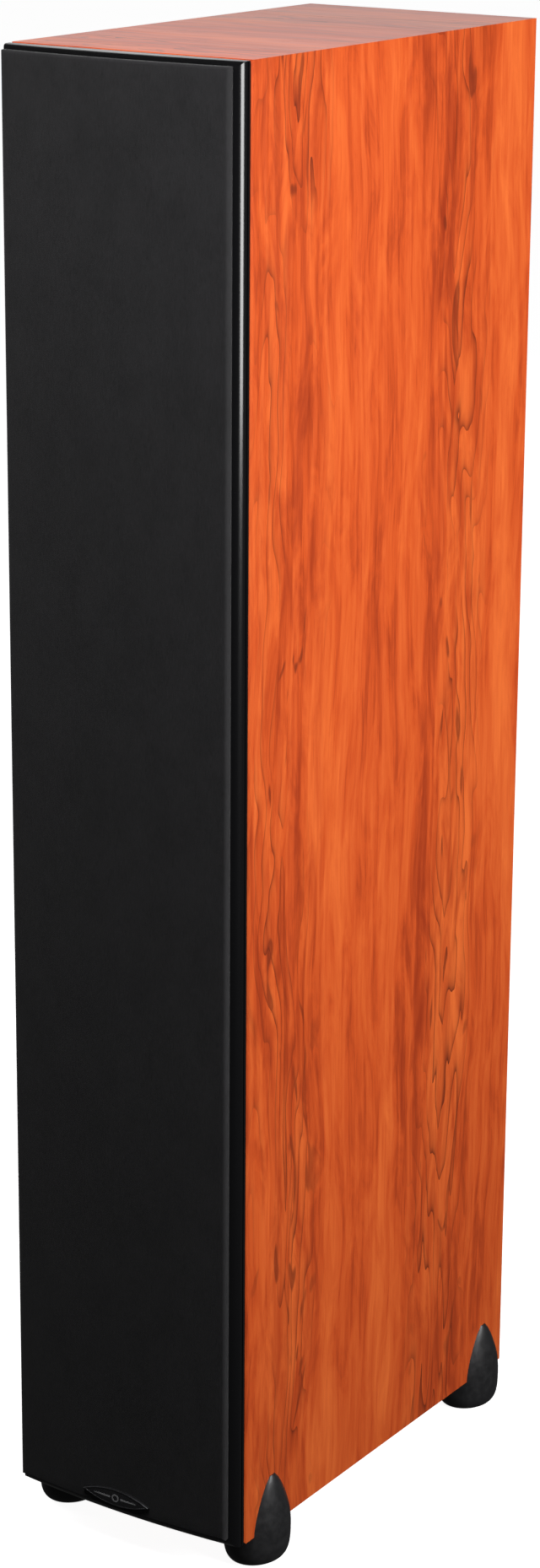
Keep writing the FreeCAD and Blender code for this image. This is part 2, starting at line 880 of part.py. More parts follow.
def cut_basket_windows(body, label):
    """Air windows round the basket's wall, and the flange's screw holes."""
    wall = size["frame_wall"]
    window = new_sketch(body, "XZ_Plane", label + "_window", offset=wall - size["spider_depth"])
    rectangle(window, -size["window_half"], size["woofer_throat"], size["window_half"],
              size["woofer_basket"] + wall)
    feature = pocket(body, window, size["spider_depth"] - 3 * wall, backwards=True)
    repeat_round(body, feature, "Y_Axis", BASKET_WINDOWS)
    holes = new_sketch(body, "XZ_Plane", label + "_holes")
    for across, up in diagonal_spots(0.0, 0.0, size["woofer_screw_ring"]):
        circle(holes, across, up, size["screw_radius"] + size["screw_slack"])
    pocket(body, holes, size["woofer_plate"], backwards=True)


def add_terminal_tab(body, label):
    """The block on the basket's left leg that takes the lead."""
    half, across = size["tab_half"], size["lead_across"]
    tab = new_sketch(body, "XZ_Plane", label + "_tab", offset=-tab_face())
    rectangle(tab, -across - half, -half, half - across, half)
    pad(body, tab, size["tab_height"])


def tab_face():
    return size["spider_depth"] + size["frame_wall"]


def roll_inner_edge():
    return size["cone_radius"] - size["surround_lap"]


def make_surround(label, place):
    """A half-roll rubber surround, glued to the flange outside and the cone inside."""
    skin, glue = size["surround_skin"], size["surround_glue"]
    face = -size["woofer_plate"]
    inner = roll_inner_edge()
    outer = inner + size["roll_width"]
    lift = face - skin
    revolved(label, [
        (outer + glue, face), (outer + glue, lift), (outer, lift), (inner, lift),
        (inner - glue / 2, lift), (inner - glue / 2, face), (inner + skin, face), (outer - skin, face),
    ], arcs={2: -size["roll_radius"], 6: size["roll_radius"] - skin}, **place)


def make_cone(label, place):
    """Cone, dust cap and voice-coil former, which are glued into one moving piece."""
    face = -size["woofer_plate"]
    paper, coil = size["cone_paper"], size["coil_radius"]
    bore = coil - size["coil_wall"]
    rim, glue = size["cone_radius"], size["cone_glue"]
    depth = size["cone_depth"]
    slope = (depth - face) / (rim - glue - bore)
    cap, dome = size["cap_radius"], size["cap_dome"]
    cap_foot = face + slope * (rim - glue - cap)
    inner_cap = cap - paper
    inner_foot = face + slope * (rim - glue - inner_cap)
    crown = cap_foot - dome
    inner_crown = crown + paper
    inner_dome = inner_foot - inner_crown
    revolved(label, [
        (rim, face), (rim - glue, face), (cap, cap_foot), (0.0, crown), (0.0, inner_crown),
        (inner_cap, inner_foot), (bore, depth), (bore, size["coil_reach"]),
        (coil, size["coil_reach"]), (coil, depth + paper), (rim - glue, face + paper),
        (rim, face + paper),
    ], arcs={2: -dome_arc(cap, dome), 4: dome_arc(inner_cap, inner_dome)}, **place)


def dome_arc(half, rise):
    return (half * half + rise * rise) / (2 * rise)


def make_spider(label, place):
    """The corrugated disc that centres the voice coil."""
    ledge, paper = size["spider_depth"], size["spider_paper"]
    inner = size["coil_radius"] + size["peg_clearance"]
    outer = size["woofer_throat"] + 2 * size["frame_wall"]
    roll = (outer - 2 * size["frame_wall"] - inner) / (2 * SPIDER_ROLLS)
    near_face = [(inner, ledge - paper)]
    for number in range(1, 2 * SPIDER_ROLLS):
        rise = paper * (SPIDER_WAVE if number % 2 else 1)
        near_face.append((inner + number * roll, ledge - rise))
    near_face.append((outer, ledge - paper))
    far_face = [(across, along + paper) for across, along in reversed(near_face)]
    revolved(label, near_face + far_face, **place)


def make_motor(label, place):
    """Top plate, ring magnet and pole piece, clamped and glued as one assembly."""
    top, plate = size["woofer_frame_depth"], size["iron_plate"]
    gap = size["coil_radius"] + size["hole_clearance"]
    pole = size["coil_radius"] - size["coil_wall"] - size["pole_gap"]
    ring, bore = size["magnet_radius"], size["magnet_bore"]
    back_plate = size["woofer_throat"]
    top_plate = back_plate - 2 * size["frame_wall"]
    nose = top - size["pole_lead"]
    under = top + plate
    back = under + size["magnet_thick"]
    revolved(label, [
        (0.0, nose), (pole, nose), (pole, back), (bore, back), (bore, under), (gap, under),
        (gap, top), (top_plate, top), (top_plate, under), (ring, under), (ring, back),
        (back_plate, back), (back_plate, back + plate), (0.0, back + plate),
    ], **place)


def make_screw(label, radius, head, head_height, length):
    """A cross-recessed pan-head screw along the Y axis, with its head towards the front."""
    body = put(new_body(label))
    section = new_sketch(body, "XY_Plane", label + "_section")
    outline(section, [(0.0, length), (radius, length), (radius, 0.0), (head, 0.0),
                      (head, -head_height * SCREW_SHOULDER), (head * SCREW_CROWN, -head_height),
                      (0.0, -head_height)])
    turn(body, section)
    arm, half = head * SCREW_CROSS, head * SCREW_SLOT
    cross = new_sketch(body, "XZ_Plane", label + "_cross", offset=head_height * SCREW_RECESS)
    outline(cross, [(-arm, -half), (-half, -half), (-half, -arm), (half, -arm), (half, -half), (arm, -half),
                    (arm, half), (half, half), (half, arm), (-half, arm), (-half, half), (-arm, half)])
    pocket(body, cross, head_height, backwards=True)
    return body


def make_woofers():
    for number, name in enumerate(WOOFERS):
        place = woofer_place(number)
        label = "woofer_%s_" % name
        make_basket(label + "basket", place)
        make_surround(label + "surround", place)
        make_cone(label + "cone", place)
        make_spider(label + "spider", place)
        make_motor(label + "motor", place)
    screw = make_screw("woofer_screw", size["screw_radius"], size["screw_head"],
                       size["screw_head_height"], size["screw_grip"])
    seat = -size["woofer_seat"] - size["woofer_plate"]
    group("woofer_screws", copies(screw, [(across, seat, up) for across, up in woofer_screw_spots()]))


# ---------------------------------------------------------------- tweeter and port


def make_tweeter():
    place = {"back": -size["tweeter_seat"], "up": tweeter_up}
    make_tweeter_plate(place)
    make_dome(place)
    make_tweeter_motor(place)
    seat = -size["tweeter_seat"] - size["tweeter_plate"]
    screw = make_screw("tweeter_screw", size["screw_radius"], size["screw_head"],
                       size["screw_head_height"], size["screw_grip"])
    group("tweeter_screws", copies(screw, [(across, seat, up) for across, up in tweeter_screw_spots()]))


def make_tweeter_plate(place):
    front, mouth = -size["tweeter_plate"], size["tweeter_mouth"]
    flange = size["tweeter_flange"]
    body = revolved("tweeter_faceplate", [
        (mouth, 0.0), (mouth, -size["tweeter_throat"]), (size["tweeter_flare"], front), (flange, front),
        (flange, 0.0),
    ], **place)
    holes = new_sketch(body, "XZ_Plane", "faceplate_holes")
    for across, up in diagonal_spots(0.0, 0.0, size["tweeter_screw_ring"]):
        circle(holes, across, up, size["screw_radius"] + size["screw_slack"])
    pocket(body, holes, size["tweeter_plate"], backwards=True)


def make_dome(place):
    """Soft dome with its own small roll and the voice coil behind it."""
    wall, coil = size["dome_skin"], size["dome_coil"]
    radius, rim = size["dome_radius"], size["dome_rim"]
    bore = radius - wall
    rise = size["dome_height"]
    skirt = -wall / 2
    face = skirt - wall
    revolved("tweeter_dome", [
        (0.0, face - rise), (0.0, face - rise + wall), (bore, skirt), (bore, coil),
        (radius, coil), (radius, skirt), (rim, skirt), (rim, face), (radius, face),
    ], arcs={1: dome_arc(bore, rise), 7: -size["dome_roll"], 8: -dome_arc(radius, rise)}, **place)


def make_tweeter_motor(place):
    gap = size["dome_radius"] + size["coil_wall"]
    pole = size["dome_radius"] - 2 * size["coil_wall"]
    outer, back = size["tweeter_motor"], size["tweeter_motor_depth"]
    seat, nose = size["tweeter_lip"], size["tweeter_pole_recess"]
    lip = size["tweeter_mouth"] + seat
    iron = size["iron_plate"]
    bore = gap + iron / 2
    revolved("tweeter_motor", [
        (0.0, nose), (pole, nose), (pole, back - iron), (bore, back - iron), (bore, iron),
        (gap, iron), (gap, seat), (lip, seat), (lip, 0.0), (outer, 0.0), (outer, back), (0.0, back),
    ], **place)


def make_port():
    """A flared reflex port, glued into the back panel."""
    bore, flare, wall = size["port_radius"], size["port_flare"], size["port_wall"]
    lip, flange = size["port_flange_thick"], size["port_flange"]
    neck = size["port_hole"] - size["recess_clearance"]
    shoulder = flare - lip
    revolved("port_tube", [
        (bore, -size["port_length"]), (bore, -shoulder), (bore + flare, lip), (flange, lip), (flange, 0.0),
        (neck, 0.0), (neck, -2 * wall), (bore + wall, -flare), (bore + wall, -size["port_length"]),
    ], arcs={1: -flare}, back=size["cab_depth"], up=size["port_up"])


# ---------------------------------------------------------------- rear terminals


def cup_screw_spots():
    across = (size["cup_width"] + size["cup_flange_width"]) / 4
    rise = (size["cup_height"] + size["cup_flange_height"]) / 4
    return [(sx * across, size["cup_up"] + sz * rise) for sx in (-1, 1) for sz in (-1, 1)]


def post_spots():
    return [(sx * size["post_across"], cup_face, size["cup_up"] + sz * size["post_rise"])
            for sz in (1, -1) for sx in (-1, 1)]


def make_cup():
    body = put(new_body("terminal_cup"), back=size["cab_depth"])
    up = size["cup_up"]

    def centred(name, width, height, offset=0.0):
        sketch = new_sketch(body, "XZ_Plane", name, offset=offset)
        rectangle(sketch, -width / 2, up - height / 2, width / 2, up + height / 2)
        return sketch

    flange = centred("cup_flange", size["cup_flange_width"], size["cup_flange_height"])
    pad(body, flange, size["cup_flange_thick"], backwards=True)
    corner = size["cup_flange_width"] / 2
    dress(body, "Fillet", size["cup_corner"], lambda p, d: runs(d, "y") and near(abs(p.x), corner))
    tub = centred("cup_tub", size["cup_width"], size["cup_height"])
    pad(body, tub, size["cup_depth"] + size["cup_floor"])
    hollow = centred("cup_hollow", size["cup_width"] - 2 * size["cup_wall"],
                     size["cup_height"] - 2 * size["cup_wall"], offset=-size["cup_flange_thick"])
    pocket(body, hollow, size["cup_depth"] + size["cup_flange_thick"], backwards=True)
    holes = new_sketch(body, "XZ_Plane", "cup_post_holes", offset=-size["cup_flange_thick"])
    for across, _, rise in post_spots():
        circle(holes, across, rise, size["post_radius"] + size["nut_running"])
    for across, rise in cup_screw_spots():
        circle(holes, across, rise, size["screw_radius"] + size["screw_slack"])
    deep = size["cup_flange_thick"] + size["cup_depth"] + size["cup_floor"]
    pocket(body, holes, deep, backwards=True)


def make_posts():
    """Four metal posts with a plug socket down the middle, and their lock nuts."""
    radius, base, step = size["post_radius"], size["post_base"], size["post_base_thick"]
    reach, plug = size["post_reach"], size["plug_radius"]
    post = revolved("binding_post", [
        (0.0, -size["post_tail"]), (radius, -size["post_tail"]), (radius, 0.0), (base, 0.0), (base, step),
        (radius, step), (radius, reach), (plug, reach), (plug, reach - size["plug_depth"]),
        (0.0, reach - size["plug_depth"]),
    ])
    wire = new_sketch(post, "YZ_Plane", "wire_hole", offset=-size["post_base"])
    hole = size["wire_hole"]
    circle(wire, step + size["strap_thick"] + size["collar_thick"] + hole, 0.0, hole)
    pocket(post, wire, 2 * size["post_base"], backwards=True)
    nut = primitive("Prism", "lock_nut_hexagon", Circumradius=size["lock_nut"], Height=size["lock_nut_thick"])
    bore = primitive("Cylinder", "lock_nut_bore", Radius=radius + size["nut_running"],
                     Height=size["lock_nut_thick"])
    lock = cut("lock_nut", nut, bore)
    lock.Placement = Placement(Vector(), Rotation(Vector(1, 0, 0), 90))
    nuts = [(across, back - size["cup_floor"], up) for across, back, up in post_spots()]
    group("binding_posts", copies(post, post_spots()) + copies(lock, nuts))


def make_straps():
    """Two removable bridge straps that join the upper and lower posts of each pole."""
    body = put(new_body("jumper_strap"))
    sketch = new_sketch(body, "XZ_Plane", "strap_face")
    half = size["strap_half"]
    length = size["post_rise"] + half
    rectangle(sketch, -half, -length, half, length)
    for sign in (-1, 1):
        circle(sketch, 0.0, sign * size["post_rise"], size["post_radius"] + size["peg_clearance"])
    pad(body, sketch, size["strap_thick"], backwards=True)
    dress(body, "Fillet", size["strap_corner"], lambda p, d: runs(d, "y") and near(abs(p.x), half))
    spots = [(sign * size["post_across"], cup_face + size["post_base_thick"], size["cup_up"])
             for sign in (-1, 1)]
    group("jumper_straps", copies(body, spots))


def make_thumb_nuts():
    """A clamp collar and a fluted thumb nut on each post."""
    strap_face = cup_face + size["post_base_thick"] + size["strap_thick"]
    bore = size["post_radius"] + size["nut_running"]
    collar, radius = size["collar_radius"], size["nut_radius"]
    thick, length = size["collar_thick"], size["nut_length"]
    edge = size["edge_bevel"]
    for number, (across, _, up) in enumerate(post_spots(), start=1):
        place = {"across": across, "up": up}
        revolved("clamp_collar_%d" % number, [
            (bore, 0.0), (collar, 0.0), (collar, thick), (bore, thick),
        ], back=strap_face, **place)
        body = revolved("thumb_nut_%d" % number, [
            (bore, 0.0), (radius - edge, 0.0), (radius, edge), (radius, length - edge),
            (radius - edge, length), (bore, length),
        ], back=strap_face + thick, **place)
        flute = new_sketch(body, "XZ_Plane", "thumb_nut_%d_flute" % number, offset=-length)
        circle(flute, radius, 0.0, size["nut_flute"])
        feature = pocket(body, flute, length - 2 * edge, backwards=True)
        repeat_round(body, feature, "Y_Axis", NUT_FLUTES)


def make_cup_screws():
    screw = make_screw("cup_screw", size["screw_radius"], size["screw_head"],
                       size["screw_head_height"], size["screw_grip"])
    screw.Placement = Placement(Vector(), Rotation(Vector(0, 0, 1), 180))
    face = size["cab_depth"] + size["cup_flange_thick"]
    group("cup_screws", copies(screw, [(across, face, up) for across, up in cup_screw_spots()]))


def make_terminals():
    make_cup()
    make_posts()
    make_straps()
    make_thumb_nuts()
    make_cup_screws()


# ---------------------------------------------------------------- crossover and wiring


def make_board():
    """The crossover board with its screw-terminal headers."""
    body = put(new_body("crossover_board"), up=size["panel"] + size["spacer_height"])
    half = size["board_half"]
    sketch = new_sketch(body, "XY_Plane", "board_outline")
    rectangle(sketch, -half, size["board_front"], half, size["board_back"])
    pad(body, sketch, size["board_thick"])
    headers = new_sketch(body, "XY_Plane", "headers", offset=size["board_thick"])
    margin = size["header_margin"]
    last_lead = size["lead_row"] + (len(WOOFERS) - 1) * size["lead_step"]
    across = size["lead_across"]
    rectangle(headers, -across - margin, size["lead_row"] - margin, -across + margin, last_lead + margin)
    inner = size["tweeter_lead_across"]
    rectangle(headers, -inner - margin, size["lead_row"] - margin, -inner + margin, size["lead_row"] + margin)
    post = size["post_across"]
    rectangle(headers, -post - margin, size["input_row"] - margin, post + margin,
              size["input_row"] + size["input_step"] + margin)
    pad(body, headers, size["header_height"])


def make_spacers():
    inset = size["spacer_inset"]
    spacer = primitive("Cylinder", "board_spacer", Radius=size["spacer_radius"], Height=size["spacer_height"])
    spots = [(sign * (size["board_half"] - inset), back, size["panel"]) for sign in (-1, 1)
             for back in (size["board_front"] + inset, size["board_back"] - inset)]
    group("board_spacers", copies(spacer, spots))


def make_inductors():
    """Two air-cored coils on bobbins, standing on the board."""
    body = put(new_body("inductor"))
    section = new_sketch(body, "XZ_Plane", "inductor_section")
    outer, high = size["inductor_radius"], size["inductor_height"]
    core, cheek = size["bobbin_core"], size["bobbin_cheek"]
    winding = outer - cheek
    outline(section, [(core, 0.0), (outer, 0.0), (outer, cheek), (winding, cheek), (winding, high - cheek),
                      (outer, high - cheek), (outer, high), (core, high)])
    turn(body, section)
    across, front = size["inductor_across"], size["inductor_row"]
    spots = [(across - size["inductor_shift"], front, board_top),
             (across, front + size["inductor_pitch"], board_top)]
    group("inductors", copies(body, spots))


def make_capacitors():
    """Four film capacitors lying on the board in two rows."""
    radius, length = size["capacitor_radius"], size["capacitor_length"]
    body = put(new_body("capacitor"))
    section = new_sketch(body, "XY_Plane", "capacitor_section")
    edge = size["edge_bevel"]
    outline(section, [(0.0, 0.0), (radius - edge, 0.0), (radius, edge), (radius, length - edge),
                      (radius - edge, length), (0.0, length)])
    turn(body, section)
    spots = [(side * size["capacitor_half_gap"] - size["capacitor_across"],
              size["capacitor_row"] + row * size["capacitor_pitch"], board_top + radius)
             for side in (-1, 1) for row in range(2)]
    group("capacitors", copies(body, spots))


def make_resistors():
    """Three cement resistors, flat on the board."""
    side, length = size["resistor_side"], size["resistor_length"]
    block = primitive("Box", "resistor", Length=side, Width=length, Height=side)
    margin, row = size["resistor_margin"], size["resistor_row"]
    right = size["board_half"] - side - margin
    spots = [(right, row, board_top), (right, row + size["resistor_pitch"], board_top),
             (-side / 2 - margin, size["resistor_middle"], board_top)]
    group("resistors", copies(block, spots))


def lead(name, points):
    """A lead along straight runs with one bend radius, as a plain swept tube."""
    spots = [Vector(*(as_size(value).value for value in point)) for point in points]
    spots = [spot + Vector(0, front_face.value, cab_floor.value) for spot in spots]
    bend, radius = size["lead_bend"].value, size["lead_radius"].value
    edges, start, length = [], spots[0], 0.0
    for before, corner, after in zip(spots, spots[1:], spots[2:]):
        to_corner = (corner - before).normalize()
        from_corner = (after - corner).normalize()
        enter, leave = corner - to_corner * bend, corner + from_corner * bend
        middle = corner + (from_corner - to_corner) * bend * (1 - DIAGONAL)
        edges += [Part.LineSegment(start, enter), Part.Arc(enter, middle, leave)]
        length += (enter - start).Length + bend * math.pi / 2
        start = leave
    edges.append(Part.LineSegment(start, spots[-1]))
    length += (spots[-1] - start).Length
    path = Part.Wire([edge.toShape() for edge in edges])
    section = Part.Wire([Part.makeCircle(radius, spots[0], (spots[1] - spots[0]).normalize())])
    tube = path.makePipeShell([section], True, True)
    expected = math.pi * radius * radius * length
    if abs(tube.Volume - expected) > LEAD_TOLERANCE * expected:
        raise ValueError("%s has volume %.0f, not %.0f" % (name, tube.Volume, expected))
    item = doc.addObject("Part::Feature", name)
    item.Shape = tube
    return item


def make_driver_leads():
    """One twin lead from the crossover to each driver, all in square bends."""
    leads = []
    for number, name in enumerate(WOOFERS):
        across, up = -size["lead_across"], woofer_up(number)
        row = size["lead_row"] + number * size["lead_step"]
        start = (across, tab_face() - size["woofer_seat"], up)
        leads.append(lead("lead_woofer_" + name, [start, (across, row, up), (across, row, header_top)]))
    across, up = -size["tweeter_lead_across"], tweeter_up
    start = (across, size["tweeter_motor_depth"] - size["tweeter_seat"], up)
    row = size["lead_row"]
    leads.append(lead("lead_tweeter", [start, (across, row, up), (across, row, header_top)]))
    group("driver_leads", leads)


def make_input_leads():
    """The four leads from the posts' tails down to the crossover's input header."""
    tail = cup_face - size["post_tail"]
    leads = []
    for number, (across, _, up) in enumerate(post_spots(), start=1):
        row = size["input_row"] + (0.0 if number <= 2 else size["input_step"])
        leads.append(lead("lead_input_%d" % number, [(across, tail, up), (across, row, up),
                                                     (across, row, header_top)]))
    group("input_leads", leads)


def make_crossover():
    make_board()
    make_spacers()
    make_inductors()
    make_capacitors()
    make_resistors()
    make_driver_leads()
    make_input_leads()


# ---------------------------------------------------------------- feet


def foot_spots():
    """Each foot's name, its side and its distance behind the cabinet's front face."""
    backs = {"front": size["foot_inset"], "rear": size["cab_depth"] - size["foot_rear_inset"]}
    return [("foot_%s_%s" % (end, side), sign, backs[end]) for end in ENDS for side, sign in SIDES.items()]


def foot_screw_pair(sign, back):
    """Where one foot's two screws go, in a line along the cabinet's side."""
    across = sign * (half_width - size["foot_screw_inward"])
    return [(across, back + end * size["foot_screw_half"]) for end in (-1, 1)]


def foot_screw_spots():
    return [spot for _, sign, back in foot_spots() for spot in foot_screw_pair(sign, back)]


def foot_section(name, share, sign, back):
    """One horizontal oval of a foot's outer form, as a flat wire."""
    rise, proud, inward, half = share
    drop = size["foot_lift"] - size["pad_proud"]
    outer = half_width + size["foot_proud"] * proud
    inner = half_width - size["foot_inward"] * inward
    up = rise * (size["foot_rise"] if rise > 0 else drop)
    along, across = size["foot_half"] * half, (outer - inner) / 2
    oval = doc.addObject("Part::Ellipse", name)
    bind(oval, "MajorRadius", along)
    bind(oval, "MinorRadius", across)
    return put(oval, sign * (outer + inner) / 2, back, up, turned=Rotation(Vector(0, 0, 1), 90))


def make_foot(label, sign, back):
    """A moulded foot: a bowl under the cabinet that runs up its side as a pointed fin."""
    sections = [foot_section("%s_section_%d" % (label, number), share, sign, back)
                for number, share in enumerate(FOOT_SECTIONS)]
    form = doc.addObject("Part::Loft", label + "_form")
    form.Sections, form.Solid, form.Ruled = sections, True, False
    cabinet = put(primitive("Box", label + "_cabinet", Length=size["cab_width"], Width=size["cab_depth"],
                            Height=size["cab_height"]), across=-half_width)
    foot = cut(label + "_cleared", form, cabinet)
    for number, tool in enumerate(foot_tools(label, sign, back)):
        foot = cut("%s_step_%d" % (label, number), foot, tool)
    foot.Label = label
    nodes[label] = foot


def foot_tools(label, sign, back):
    """The rubber pad's seat, and a counterbored hole for each of the foot's screws."""
    under = -size["foot_lift"]
    seat = primitive("Cylinder", label + "_pad_seat", Radius=size["pad_radius"], Height=size["pad_height"])
    tools = [put(seat, sign * (half_width - size["pad_inward"]), back, under)]
    for across, spot in foot_screw_pair(sign, back):
        head = primitive("Cylinder", label + "_counterbore", Radius=size["foot_counterbore"],
                         Height=size["foot_lift"] - size["foot_screw_web"])
        shank = primitive("Cylinder", label + "_screw_hole", Height=size["foot_lift"],
                          Radius=size["screw_radius"] + size["screw_slack"])
        tools += [put(head, across, spot, under), put(shank, across, spot, under)]
    return tools


def make_feet():
    for label, sign, back in foot_spots():
        make_foot(label, sign, back)
    pad_master = primitive("Cylinder", "foot_pad", Radius=size["pad_radius"] - size["screw_slack"],
                           Height=size["pad_height"])
    pads = [(sign * (half_width - size["pad_inward"]), back, -size["foot_lift"])
            for _, sign, back in foot_spots()]
    group("foot_pads", copies(pad_master, pads))
    screw = make_screw("foot_screw", size["screw_radius"], size["screw_head"],
                       size["screw_head_height"], size["foot_screw_web"] + size["foot_screw_bite"])
    screw.Placement = Placement(Vector(), Rotation(Vector(1, 0, 0), 90))
    screws = [(across, back, -size["foot_screw_web"]) for across, back in foot_screw_spots()]
    group("foot_screws", copies(screw, screws))


# ---------------------------------------------------------------- checks and export


def check_document():
    """Stop if any object failed to rebuild or any sub-part is not a sound solid."""
    doc.recompute()
    for item in doc.Objects:
        if "Invalid" in item.State or "Error" in item.State:
            raise ValueError("%s failed: %s" % (item.Label, item.State))
    for label, item in nodes.items():
        shape = item.Shape
        if shape.isNull() or not shape.isValid() or not shape.Solids:
            raise ValueError("%s has no valid solid" % label)


def export_parts():
    os.makedirs("parts", exist_ok=True)
    for label, item in sorted(nodes.items()):
        item.Shape.exportStep("parts/%s.step" % label)
    print("%d sub-parts written" % len(nodes))


make_cabinet()
make_front()
make_woofers()
make_tweeter()
make_port()
make_terminals()
make_crossover()
make_feet()
check_document()
export_parts()
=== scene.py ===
"""Looks of a slim floorstanding loudspeaker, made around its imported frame.

The tower has a cherry-finish cabinet on four moulded feet, a bowed gloss fascia, a full-length
cloth grille with a plain badge, three woofers and a tweeter behind it, and its terminals at the back.
Every length is in metres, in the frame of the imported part: +X right, +Y back, +Z up.
"""

import logging
import math
from dataclasses import dataclass, field
from enum import Enum
from typing import Iterable, Sequence

import bmesh
import bpy
from mathutils import Matrix, Vector, noise

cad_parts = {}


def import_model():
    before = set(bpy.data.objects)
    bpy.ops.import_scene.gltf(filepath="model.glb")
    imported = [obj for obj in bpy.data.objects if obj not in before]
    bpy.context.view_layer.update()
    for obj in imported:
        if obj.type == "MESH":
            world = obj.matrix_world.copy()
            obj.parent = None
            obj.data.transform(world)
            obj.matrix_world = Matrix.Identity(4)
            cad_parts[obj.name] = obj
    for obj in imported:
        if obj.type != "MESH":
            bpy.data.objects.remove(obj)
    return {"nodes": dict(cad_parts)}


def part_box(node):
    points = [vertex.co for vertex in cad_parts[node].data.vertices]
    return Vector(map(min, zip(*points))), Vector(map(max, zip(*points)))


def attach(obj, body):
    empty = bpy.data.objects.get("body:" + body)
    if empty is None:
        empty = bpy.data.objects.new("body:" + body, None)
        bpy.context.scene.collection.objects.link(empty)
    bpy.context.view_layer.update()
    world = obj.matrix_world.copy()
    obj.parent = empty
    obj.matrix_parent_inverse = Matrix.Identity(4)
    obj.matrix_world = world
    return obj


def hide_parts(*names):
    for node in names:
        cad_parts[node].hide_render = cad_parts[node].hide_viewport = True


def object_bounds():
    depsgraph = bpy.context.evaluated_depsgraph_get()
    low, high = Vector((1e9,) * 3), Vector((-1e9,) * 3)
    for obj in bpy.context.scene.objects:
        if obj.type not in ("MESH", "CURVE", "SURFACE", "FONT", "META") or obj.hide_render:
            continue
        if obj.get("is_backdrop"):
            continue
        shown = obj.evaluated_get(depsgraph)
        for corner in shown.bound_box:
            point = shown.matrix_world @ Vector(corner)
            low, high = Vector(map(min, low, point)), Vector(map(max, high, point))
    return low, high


LOG = logging.getLogger("speaker")

Colour = tuple[float, float, float]
Point = tuple[float, float, float]
Socket = bpy.types.NodeSocket

CABINET = "cabinet"
GRILLE = "grille"
WOOFERS = ("bottom", "middle", "top")
POSTS = (1, 2, 3, 4)


class Axis(Enum):
    """The three directions of the part's frame."""

    X = 0
    Y = 1
    Z = 2


# ---------------------------------------------------------------- shader building


@dataclass(frozen=True)
class Pattern:
    """A soft random pattern, laid out by its scale in pattern units to a metre along each axis.

    detail and rough say how many finer layers it has and how strong they are, warp how much it is bent
    by itself, and offset picks another part of it.
    """

    scale: Point
    detail: float = 3.0
    rough: float = 0.5
    warp: float = 0.0
    offset: Point = (0.0, 0.0, 0.0)


